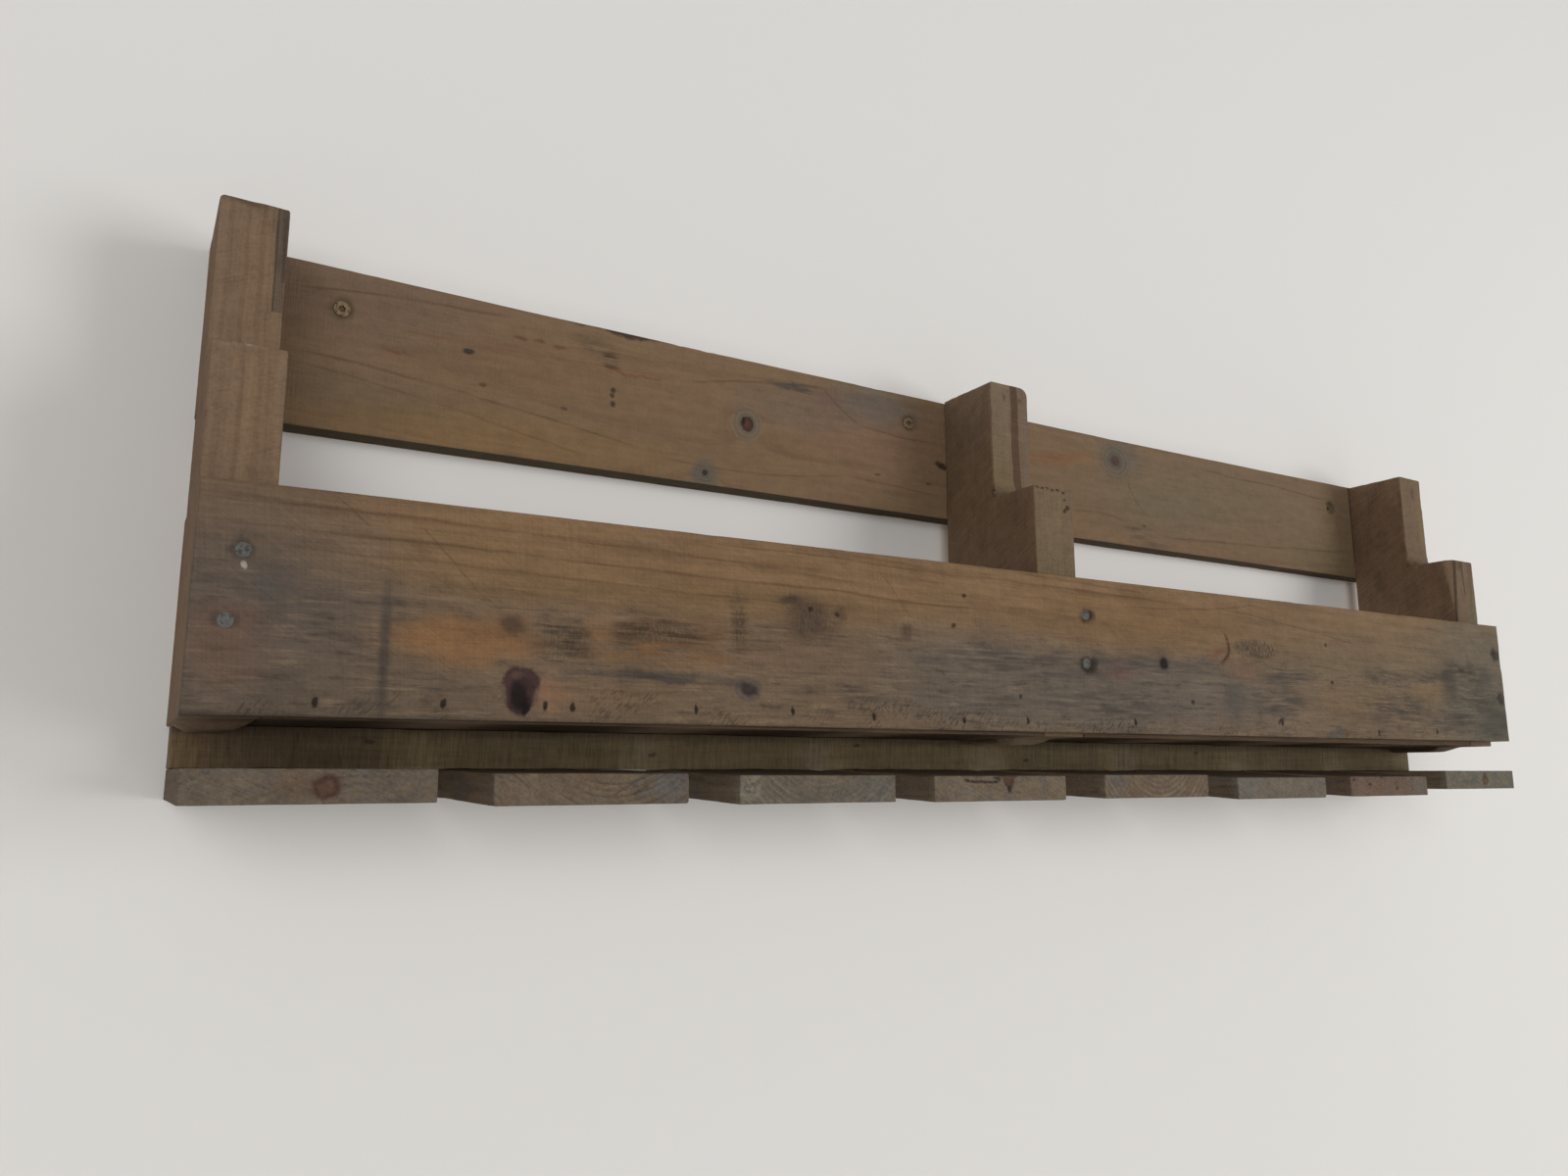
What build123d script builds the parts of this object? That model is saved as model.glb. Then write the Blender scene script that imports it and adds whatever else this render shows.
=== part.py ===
from build123d import *
from math import atan2, cos, degrees, pi
import os

os.makedirs("parts", exist_ok=True)

# Wall rack for bottles and stemmed glasses, made from the sawn-off end of a pallet.
# +X runs right along the wall, +Y points into the wall, +Z is up.
# The origin is on the wall, midway between the two outer wall screws.

# Overall sizes
rack_length = 1016.0
board_thickness = 15.0
screw_line_height = 226.0

# Stringers, stood on end with the fork notch upwards
stringer_depth = 89.0
neck_depth = 50.5
left_stringer_width = 31.5
middle_stringer_width = 35.0
right_stringer_width = 34.0
left_stringer_height = 251.0
middle_stringer_height = 248.5
right_stringer_height = 250.0
middle_stringer_shift = -8.0
shoulder_height = 164.5
notch_radius = 10.0
worn_corner_radius = 8.0

# Slanting bare edge on the right stringer, where the log ran out
wane_length = 54.0
wane_depth = 7.0
wane_width = 6.0

# Front board, a little wider and higher at its right end
front_board_width = 98.5
front_board_widening = 2.5
front_board_rise = 4.0

# Back boards, the upper one bowed along its top edge
lower_back_board_width = 103.0
upper_back_board_base = 156.5
upper_back_board_rise = 4.5
upper_back_board_left_width = 93.0
upper_back_board_right_width = 90.0
bow_depth = 3.0
bow_offset = -210.0

# Shelf boards between the stringers
shelf_end_gap = 0.5

# Batten under the shelf
batten_depth = 30.0
batten_height = 20.5
batten_end_inset = 1.5

# Fingers under the batten, one row each: extra width, shift to the right, sag of the front end
finger_thickness = 15.0
stem_slot_width = 29.0
end_finger_inset = 1.5
finger_rows = (
    (0.4, 0.3, 0.5),
    (-2.6, -5.1, 2.5),
    (-2.1, -8.0, 3.5),
    (2.4, -9.6, 4.0),
    (-2.1, -5.2, 3.5),
    (-0.4, -4.8, 5.5),
    (1.4, -2.8, 5.0),
    (3.4, -1.0, 0.5),
)

# Wall screw holes through the upper back board
wall_screw_span = 886.0
inner_screw_offset = -58.0
wall_screw_hole_radius = 2.75
countersink_radius = 4.75

# Facets round every nail, brad and screw
fastener_sides = 12

# Flat-headed nails through the boards into the stringers
nail_length = 50.0
nail_radius = 1.6
nail_head_radius = 3.4
nail_head_thickness = 1.2
nail_point_length = 4.0
nail_point_radius = 0.4
back_nail_edge_distance = 22.0
back_nail_stagger = 7.0

# Front nails, two for each stringer: offset from its middle, height above the rack's underside
front_nail_rows = (
    ((2.5, 69.0), (-2.0, 39.0)),
    ((8.5, 77.5), (7.5, 46.0)),
    ((10.5, 78.0), (11.5, 41.0)),
)

# Headless brads into the shelf boards: share of the way along the bay, height above the underside
brad_length = 32.0
brad_radius = 0.8
left_bay_brads = (
    (0.042, 6.0),
    (0.161, 7.0),
    (0.265, 7.5),
    (0.296, 7.5),
    (0.440, 8.5),
    (0.567, 9.0),
    (0.685, 7.5),
    (0.829, 7.0),
    (0.940, 8.0),
)
right_bay_brads = ((0.070, 9.5), (0.400, 12.0), (0.658, 7.5), (0.833, 10.0))

# Countersunk screws, up through the fingers into the batten and through the batten into the stringers
screw_radius = 2.0
screw_head_radius = 4.0
screw_head_height = 2.4
finger_screw_length = 32.0
finger_screw_edge_distance = 22.0
finger_screw_wall_distance = 9.0
batten_screw_length = 50.0
screw_point_length = 6.0
screw_point_radius = 0.4

# Faces and planes that the pieces share
back_board_front_y = -board_thickness
stringer_front_y = back_board_front_y - stringer_depth
neck_front_y = back_board_front_y - neck_depth
rack_front_y = stringer_front_y - board_thickness
batten_front_y = -batten_depth
left_end_x = -rack_length / 2
right_end_x = rack_length / 2
base_z = -screw_line_height
shoulder_z = base_z + shoulder_height
batten_base_z = base_z - batten_height
finger_base_z = batten_base_z - finger_thickness
left_stringer_x = left_end_x
middle_stringer_x = middle_stringer_shift - middle_stringer_width / 2
right_stringer_x = right_end_x - right_stringer_width
left_bay_x = left_stringer_x + left_stringer_width
left_bay_width = middle_stringer_x - left_bay_x
right_bay_x = middle_stringer_x + middle_stringer_width
right_bay_width = right_stringer_x - right_bay_x
stringer_centres = (
    left_stringer_x + left_stringer_width / 2,
    middle_stringer_shift,
    right_stringer_x + right_stringer_width / 2,
)
upper_base_left_z = base_z + upper_back_board_base
upper_base_right_z = upper_base_left_z + upper_back_board_rise
upper_top_left_z = upper_base_left_z + upper_back_board_left_width
upper_top_right_z = upper_base_right_z + upper_back_board_right_width
bow_share = (bow_offset - left_end_x) / rack_length
bow_z = upper_top_left_z + bow_share * (upper_top_right_z - upper_top_left_z) - bow_depth
finger_pitch = (rack_length - 2 * end_finger_inset + stem_slot_width) / len(finger_rows)
finger_width = finger_pitch - stem_slot_width
wall_plane = Plane.XZ
stringer_front_plane = Plane.XZ.offset(-stringer_front_y)


def front_place(x, z):
    """A place on the front board's face, looking into it."""
    return Location(Plane.XZ.offset(-rack_front_y)) * Pos(x, z, 0) * Rot(0, 180, 0)


def back_place(x, z):
    """A place on the wall side of the rack, looking forward."""
    return Location(Plane.XZ) * Pos(x, z, 0)


def faceted_pin(rings):
    """A pin that stands on its head at z = 0, built up through rings of height and radius."""
    with BuildPart() as pin:
        for (low, low_radius), (high, high_radius) in zip(rings, rings[1:]):
            if high > low:
                with BuildSketch(Plane.XY.offset(low)):
                    RegularPolygon(low_radius, fastener_sides)
                narrowing = (low_radius - high_radius) * cos(pi / fastener_sides)
                extrude(amount=high - low, taper=degrees(atan2(narrowing, high - low)))
    return pin.part


def flat_head_nail():
    """A nail with a thin flat head."""
    return faceted_pin(
        (
            (0, nail_head_radius),
            (nail_head_thickness, nail_head_radius),
            (nail_head_thickness, nail_radius),
            (nail_length - nail_point_length, nail_radius),
            (nail_length, nail_point_radius),
        )
    )


def countersunk_screw(length):
    """A wood screw whose head narrows straight into its shank."""
    return faceted_pin(
        (
            (0, screw_head_radius),
            (screw_head_height, screw_radius),
            (length - screw_point_length, screw_radius),
            (length, screw_point_radius),
        )
    )


def finger_centre(index):
    """Where the middle of a finger stands along the rack."""
    first_centre = left_end_x + end_finger_inset + finger_width / 2
    return first_centre + index * finger_pitch + finger_rows[index][1]


# Fasteners first, because every piece they pass through is holed to match them
board_nail = flat_head_nail()
brad = faceted_pin(((0, brad_radius), (brad_length, brad_radius)))
finger_screw = countersunk_screw(finger_screw_length)
batten_screw = countersunk_screw(batten_screw_length)

with BuildPart() as front_board_nails:
    for centre, row in zip(stringer_centres, front_nail_rows):
        for offset, height in row:
            with Locations(front_place(centre + offset, base_z + height)):
                add(board_nail)
front_board_nails.part.label = "front_board_nails"
export_step(front_board_nails.part, "parts/front_board_nails.step")

lower_board_nail_rows = (
    (-back_nail_stagger, base_z + back_nail_edge_distance),
    (back_nail_stagger, base_z + lower_back_board_width - back_nail_edge_distance),
)
with BuildPart() as lower_back_board_nails:
    for centre in stringer_centres:
        for offset, height in lower_board_nail_rows:
            with Locations(back_place(centre + offset, height)):
                add(board_nail)
lower_back_board_nails.part.label = "lower_back_board_nails"
export_step(lower_back_board_nails.part, "parts/lower_back_board_nails.step")

upper_board_low_nail_z = upper_base_right_z + back_nail_edge_distance
upper_board_high_nail_z = upper_top_left_z - back_nail_edge_distance
upper_board_nail_rows = (
    (-back_nail_stagger, upper_board_low_nail_z),
    (back_nail_stagger, upper_board_high_nail_z),
)
with BuildPart() as upper_back_board_nails:
    for centre in stringer_centres:
        for offset, height in upper_board_nail_rows:
            with Locations(back_place(centre + offset, height)):
                add(board_nail)
upper_back_board_nails.part.label = "upper_back_board_nails"
export_step(upper_back_board_nails.part, "parts/upper_back_board_nails.step")

with BuildPart() as shelf_brads:
    for share, height in left_bay_brads:
        with Locations(front_place(left_bay_x + share * left_bay_width, base_z + height)):
            add(brad)
    for share, height in right_bay_brads:
        with Locations(front_place(right_bay_x + share * right_bay_width, base_z + height)):
            add(brad)
shelf_brads.part.label = "shelf_brads"
export_step(shelf_brads.part, "parts/shelf_brads.step")

with BuildPart() as finger_screws:
    for index, (extra_width, shift, sag) in enumerate(finger_rows):
        reach = (finger_width + extra_width) / 2 - finger_screw_edge_distance
        for side in (-1, 1):
            screw_x = finger_centre(index) + side * reach
            with Locations((screw_x, -finger_screw_wall_distance, finger_base_z)):
                add(finger_screw)
finger_screws.part.label = "finger_screws"
export_step(finger_screws.part, "parts/finger_screws.step")

batten_screw_y = (batten_front_y + back_board_front_y) / 2
with BuildPart() as batten_screws:
    for centre in stringer_centres:
        with Locations((centre, batten_screw_y, batten_base_z)):
            add(batten_screw)
batten_screws.part.label = "batten_screws"
export_step(batten_screws.part, "parts/batten_screws.step")


def notched_stringer(left_x, width, height):
    """A pallet stringer on end: full depth up to the shoulder, a slim neck above it."""
    with BuildPart() as stringer:
        with BuildSketch(Plane.YZ.offset(left_x)) as side:
            with BuildLine():
                Polyline(
                    (back_board_front_y, base_z),
                    (back_board_front_y, base_z + height),
                    (neck_front_y, base_z + height),
                    (neck_front_y, shoulder_z),
                    (stringer_front_y, shoulder_z),
                    (stringer_front_y, base_z),
                    close=True,
                )
            make_face()
            notch_corner = side.vertices().sort_by_distance((neck_front_y, shoulder_z))[0]
            fillet(notch_corner, notch_radius)
        extrude(amount=width)
    return stringer.part


left_blank = notched_stringer(left_stringer_x, left_stringer_width, left_stringer_height)
with BuildPart() as left_stringer:
    add(left_blank)
    add(front_board_nails.part, mode=Mode.SUBTRACT)
    add(lower_back_board_nails.part, mode=Mode.SUBTRACT)
    add(upper_back_board_nails.part, mode=Mode.SUBTRACT)
    add(batten_screws.part, mode=Mode.SUBTRACT)
left_stringer.part.label = "left_stringer"
export_step(left_stringer.part, "parts/left_stringer.step")

middle_blank = notched_stringer(middle_stringer_x, middle_stringer_width, middle_stringer_height)
with BuildPart() as middle_stringer:
    add(middle_blank)
    top_face = middle_stringer.faces().sort_by(Axis.Z)[-1]
    top_right_edge = top_face.edges().filter_by(Axis.Y).sort_by(Axis.X)[-1]
    fillet(top_right_edge, worn_corner_radius)
    add(front_board_nails.part, mode=Mode.SUBTRACT)
    add(lower_back_board_nails.part, mode=Mode.SUBTRACT)
    add(upper_back_board_nails.part, mode=Mode.SUBTRACT)
    add(batten_screws.part, mode=Mode.SUBTRACT)
middle_stringer.part.label = "middle_stringer"
export_step(middle_stringer.part, "parts/middle_stringer.step")

right_blank = notched_stringer(right_stringer_x, right_stringer_width, right_stringer_height)
wane_plane = Plane(
    origin=(right_stringer_x, stringer_front_y, shoulder_z - wane_length),
    z_dir=(-wane_depth * wane_length, -wane_width * wane_length, wane_width * wane_depth),
)
with BuildPart() as right_stringer:
    add(right_blank)
    split(bisect_by=wane_plane, keep=Keep.BOTTOM)
    add(front_board_nails.part, mode=Mode.SUBTRACT)
    add(lower_back_board_nails.part, mode=Mode.SUBTRACT)
    add(upper_back_board_nails.part, mode=Mode.SUBTRACT)
    add(batten_screws.part, mode=Mode.SUBTRACT)
right_stringer.part.label = "right_stringer"
export_step(right_stringer.part, "parts/right_stringer.step")

# Front board, nailed over the stringers' full-depth parts
with BuildPart() as front_board:
    with BuildSketch(stringer_front_plane):
        with BuildLine():
            Polyline(
                (left_end_x, base_z),
                (right_end_x, base_z + front_board_rise),
                (right_end_x, base_z + front_board_rise + front_board_width + front_board_widening),
                (left_end_x, base_z + front_board_width),
                close=True,
            )
        make_face()
    extrude(amount=board_thickness)
    add(front_board_nails.part, mode=Mode.SUBTRACT)
    add(shelf_brads.part, mode=Mode.SUBTRACT)
front_board.part.label = "front_board"
export_step(front_board.part, "parts/front_board.step")

# Lower back board, behind the bottles
with BuildPart() as lower_back_board:
    with BuildSketch(wall_plane):
        with Locations((left_end_x, base_z)):
            Rectangle(rack_length, lower_back_board_width, align=(Align.MIN, Align.MIN))
    extrude(amount=board_thickness)
    add(lower_back_board_nails.part, mode=Mode.SUBTRACT)
lower_back_board.part.label = "lower_back_board"
export_step(lower_back_board.part, "parts/lower_back_board.step")

# Upper back board, the one that is screwed to the wall
with BuildPart() as upper_back_board:
    with BuildSketch(wall_plane):
        with BuildLine():
            Line((left_end_x, upper_base_left_z), (right_end_x, upper_base_right_z))
            Line((right_end_x, upper_base_right_z), (right_end_x, upper_top_right_z))
            ThreePointArc(
                (right_end_x, upper_top_right_z),
                (bow_offset, bow_z),
                (left_end_x, upper_top_left_z),
            )
            Line((left_end_x, upper_top_left_z), (left_end_x, upper_base_left_z))
        make_face()
    extrude(amount=board_thickness)
    for screw_x in (-wall_screw_span / 2, inner_screw_offset, wall_screw_span / 2):
        with Locations(Location(Plane.XZ.offset(board_thickness)) * Pos(screw_x, 0, 0)):
            CounterSinkHole(wall_screw_hole_radius, countersink_radius)
    add(upper_back_board_nails.part, mode=Mode.SUBTRACT)
upper_back_board.part.label = "upper_back_board"
export_step(upper_back_board.part, "parts/upper_back_board.step")

# Shelf boards, one in each bay, that the bottles stand on
with BuildPart() as left_shelf_board:
    with BuildSketch(Plane.XY.offset(base_z)):
        with Locations((left_bay_x + shelf_end_gap, back_board_front_y)):
            Rectangle(
                left_bay_width - 2 * shelf_end_gap, stringer_depth, align=(Align.MIN, Align.MAX)
            )
    extrude(amount=board_thickness)
    add(shelf_brads.part, mode=Mode.SUBTRACT)
left_shelf_board.part.label = "left_shelf_board"
export_step(left_shelf_board.part, "parts/left_shelf_board.step")

with BuildPart() as right_shelf_board:
    with BuildSketch(Plane.XY.offset(base_z)):
        with Locations((right_bay_x + shelf_end_gap, back_board_front_y)):
            Rectangle(
                right_bay_width - 2 * shelf_end_gap, stringer_depth, align=(Align.MIN, Align.MAX)
            )
    extrude(amount=board_thickness)
    add(shelf_brads.part, mode=Mode.SUBTRACT)
right_shelf_board.part.label = "right_shelf_board"
export_step(right_shelf_board.part, "parts/right_shelf_board.step")

# Batten along the wall, which spaces the fingers off the shelf for the glasses' feet
with BuildPart() as rear_batten:
    with BuildSketch(Plane.XY.offset(base_z)):
        with Locations((left_end_x + batten_end_inset, 0)):
            Rectangle(
                rack_length - 2 * batten_end_inset, batten_depth, align=(Align.MIN, Align.MAX)
            )
    extrude(amount=-batten_height)
    add(batten_screws.part, mode=Mode.SUBTRACT)
    add(finger_screws.part, mode=Mode.SUBTRACT)
rear_batten.part.label = "rear_batten"
export_step(rear_batten.part, "parts/rear_batten.step")

# Fingers, flat under the batten and sagging a little towards the front
for index, (extra_width, shift, sag) in enumerate(finger_rows):
    width = finger_width + extra_width
    with BuildPart() as finger:
        with BuildSketch(Plane.YZ.offset(finger_centre(index) - width / 2)):
            with BuildLine():
                Polyline(
                    (0, batten_base_z),
                    (batten_front_y, batten_base_z),
                    (rack_front_y, batten_base_z - sag),
                    (rack_front_y, finger_base_z - sag),
                    (batten_front_y, finger_base_z),
                    (0, finger_base_z),
                    close=True,
                )
            make_face()
        extrude(amount=width)
        add(finger_screws.part, mode=Mode.SUBTRACT)
    finger.part.label = f"finger_{index + 1}"
    export_step(finger.part, f"parts/finger_{index + 1}.step")
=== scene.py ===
import math

import bmesh
import bpy
import numpy as np
from mathutils import Matrix, Vector


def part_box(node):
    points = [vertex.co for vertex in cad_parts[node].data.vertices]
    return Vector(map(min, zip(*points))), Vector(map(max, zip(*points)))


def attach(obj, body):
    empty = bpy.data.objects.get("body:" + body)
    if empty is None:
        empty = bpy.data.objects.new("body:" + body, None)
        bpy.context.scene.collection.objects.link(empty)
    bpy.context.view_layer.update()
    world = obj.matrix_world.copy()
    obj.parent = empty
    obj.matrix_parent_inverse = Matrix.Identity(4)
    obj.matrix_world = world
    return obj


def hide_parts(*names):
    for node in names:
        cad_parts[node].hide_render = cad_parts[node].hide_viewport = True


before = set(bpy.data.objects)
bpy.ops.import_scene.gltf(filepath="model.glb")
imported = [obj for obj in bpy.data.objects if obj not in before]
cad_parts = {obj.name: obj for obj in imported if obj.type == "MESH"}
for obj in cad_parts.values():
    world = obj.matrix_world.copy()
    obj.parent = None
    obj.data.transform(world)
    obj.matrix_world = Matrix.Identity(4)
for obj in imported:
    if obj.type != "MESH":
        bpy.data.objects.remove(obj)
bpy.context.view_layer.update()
MM = 0.001

# Camera, at the photograph's viewing angle
PICTURE_WIDTH = 1600
FOCAL_PIXELS = 1126.84
SENSOR_WIDTH = 36.0
CAMERA_PLACE = Vector((-529.6, -621.9, -251.5)) * MM
CAMERA_YAW = math.radians(31.09)
CAMERA_PITCH = math.radians(9.76)
CAMERA_ROLL = math.radians(-0.15)


def placed_object(name, data):
    """A new object in the scene."""
    thing = bpy.data.objects.new(name, data)
    bpy.context.scene.collection.objects.link(thing)
    return thing


def make_camera():
    lens = bpy.data.cameras.new("camera")
    lens.sensor_width = SENSOR_WIDTH
    lens.lens = SENSOR_WIDTH * FOCAL_PIXELS / PICTURE_WIDTH
    lens.clip_start = 0.01
    camera = placed_object("camera", lens)
    turn = Matrix.Rotation(-CAMERA_YAW, 4, "Z")
    tip = Matrix.Rotation(math.pi / 2 + CAMERA_PITCH, 4, "X")
    roll = Matrix.Rotation(CAMERA_ROLL, 4, "Z")
    camera.matrix_world = Matrix.Translation(CAMERA_PLACE) @ turn @ tip @ roll
    bpy.context.scene.camera = camera


# Shader fields

# A mix node's sockets for colours, by number, since their names are also those of its other sockets
FIRST_COLOUR = 6
SECOND_COLOUR = 7
MIXED_COLOUR = 2


def node_of(tree, kind, **settings):
    """A new node with its settings."""
    step = tree.nodes.new(kind)
    for name, value in settings.items():
        setattr(step, name, value)
    return step


def connect(tree, socket, value):
    """Feeds a socket with another field, or with a plain number or colour."""
    if isinstance(value, Field):
        tree.links.new(value.socket, socket)
    else:
        socket.default_value = value


class Field:
    """A number, place or colour at every point of a surface, worked out by shader nodes."""

    def __init__(self, tree, socket):
        self.tree = tree
        self.socket = socket

    def worked(self, kind, operation, others, output):
        """What a node makes of this field and the others, taken in order."""
        step = node_of(self.tree, kind, operation=operation)
        for index, value in enumerate((self, *others)):
            connect(self.tree, step.inputs[index], value)
        return Field(self.tree, step.outputs[output])

    def calculate(self, operation, *others):
        return self.worked("ShaderNodeMath", operation, others, 0)

    def vector(self, operation, *others, output=0):
        return self.worked("ShaderNodeVectorMath", operation, others, output)

    def __add__(self, other):
        return self.calculate("ADD", other)

    def __sub__(self, other):
        return self.calculate("SUBTRACT", other)

    def __mul__(self, other):
        return self.calculate("MULTIPLY", other)

    def between(self, low, high, start=0.0, end=1.0):
        """Runs smoothly from start to end as this field goes from low to high."""
        step = node_of(self.tree, "ShaderNodeMapRange", interpolation_type="SMOOTHSTEP")
        connect(self.tree, step.inputs["Value"], self)
        for socket, value in (("From Min", low), ("From Max", high), ("To Min", start), ("To Max", end)):
            step.inputs[socket].default_value = value
        return Field(self.tree, step.outputs["Result"])

    def seen_from(self, centre, sizes, turn=0.0, axis=1):
        """A place field measured from a centre, turned about an axis and divided by sizes."""
        step = node_of(self.tree, "ShaderNodeMapping", vector_type="TEXTURE")
        connect(self.tree, step.inputs["Vector"], self)
        step.inputs["Location"].default_value = centre
        step.inputs["Rotation"].default_value[axis] = math.radians(turn)
        step.inputs["Scale"].default_value = sizes
        return Field(self.tree, step.outputs["Vector"])

    def part_along(self, direction):
        return self.vector("DOT_PRODUCT", direction, output=1)

    def noise(self, detail=2.0, roughness=0.5, output="Fac"):
        """Soft noise from 0 to 1, with features about one unit across."""
        step = self.tree.nodes.new("ShaderNodeTexNoise")
        connect(self.tree, step.inputs["Vector"], self)
        step.inputs["Scale"].default_value = 1.0
        step.inputs["Detail"].default_value = detail
        step.inputs["Roughness"].default_value = roughness
        return Field(self.tree, step.outputs[output])

    def each(self):
        """A chance number from 0 to 1 for each whole number of this field."""
        step = node_of(self.tree, "ShaderNodeTexWhiteNoise", noise_dimensions="1D")
        connect(self.tree, step.inputs["W"], self.calculate("FLOOR"))
        return Field(self.tree, step.outputs["Value"])

    def split(self):
        """The three parts of a place field."""
        step = self.tree.nodes.new("ShaderNodeSeparateXYZ")
        connect(self.tree, step.inputs[0], self)
        return [Field(self.tree, output) for output in step.outputs]

    def toward(self, colour, amount):
        """This colour field, mixed towards a screen colour by an amount from 0 to 1."""
        step = node_of(self.tree, "ShaderNodeMix", data_type="RGBA")
        connect(self.tree, step.inputs["Factor"], amount)
        connect(self.tree, step.inputs[FIRST_COLOUR], self)
        connect(self.tree, step.inputs[SECOND_COLOUR], tone(colour))
        return Field(self.tree, step.outputs[MIXED_COLOUR])

    def shaded(self, amount):
        """This colour field, multiplied by a grey field."""
        grey = self.tree.nodes.new("ShaderNodeCombineColor")
        for socket in grey.inputs:
            connect(self.tree, socket, amount)
        step = node_of(self.tree, "ShaderNodeMix", data_type="RGBA", blend_type="MULTIPLY")
        step.inputs["Factor"].default_value = 1.0
        connect(self.tree, step.inputs[FIRST_COLOUR], self)
        self.tree.links.new(grey.outputs[0], step.inputs[SECOND_COLOUR])
        return Field(self.tree, step.outputs[MIXED_COLOUR])


def tone(colour):
    """A screen colour, in values from 0 to 255, as the linear colour that shaders take."""
    parts = []
    for value in colour:
        share = value / 255
        linear = share / 12.92 if share <= 0.04045 else ((share + 0.055) / 1.055) ** 2.4
        parts.append(linear)
    return (*parts, 1.0)


def blank_material(name):
    material = bpy.data.materials.new(name)
    material.use_nodes = True
    material.node_tree.nodes.clear()
    return material, material.node_tree


def plain_colour(tree, colour):
    """A field of one screen colour."""
    base = tree.nodes.new("ShaderNodeRGB")
    base.outputs[0].default_value = tone(colour)
    return Field(tree, base.outputs[0])


def surface_of(tree, colour, height, roughness, bump_distance, **fixed):
    """Joins colour, roughness and height fields to a surface shader."""
    shader = tree.nodes.new("ShaderNodeBsdfPrincipled")
    connect(tree, shader.inputs["Base Color"], colour)
    connect(tree, shader.inputs["Roughness"], roughness)
    for socket, value in fixed.items():
        shader.inputs[socket.replace("_", " ")].default_value = value
    relief = tree.nodes.new("ShaderNodeBump")
    relief.inputs["Distance"].default_value = bump_distance
    connect(tree, relief.inputs["Height"], height)
    tree.links.new(relief.outputs["Normal"], shader.inputs["Normal"])
    output = tree.nodes.new("ShaderNodeOutputMaterial")
    tree.links.new(shader.outputs["BSDF"], output.inputs["Surface"])


NOWHERE = (0.0, 0.0, 0.0)
RIGHT = (1.0, 0.0, 0.0)
INWARD = (0.0, 1.0, 0.0)
UP = (0.0, 0.0, 1.0)
# For each way of the grain: its own axis, then the two across it
AXES = {"x": (0, 1, 2), "y": (1, 0, 2), "z": (2, 0, 1)}

# Kinds of stain: broken up along the grain, whole with ragged edges, or whole with smooth ones
BROKEN = "broken"
WHOLE = "whole"
SMOOTH = "smooth"
# Depth behind the face that takes a stain right through a piece
THROUGH = 400.0


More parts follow.
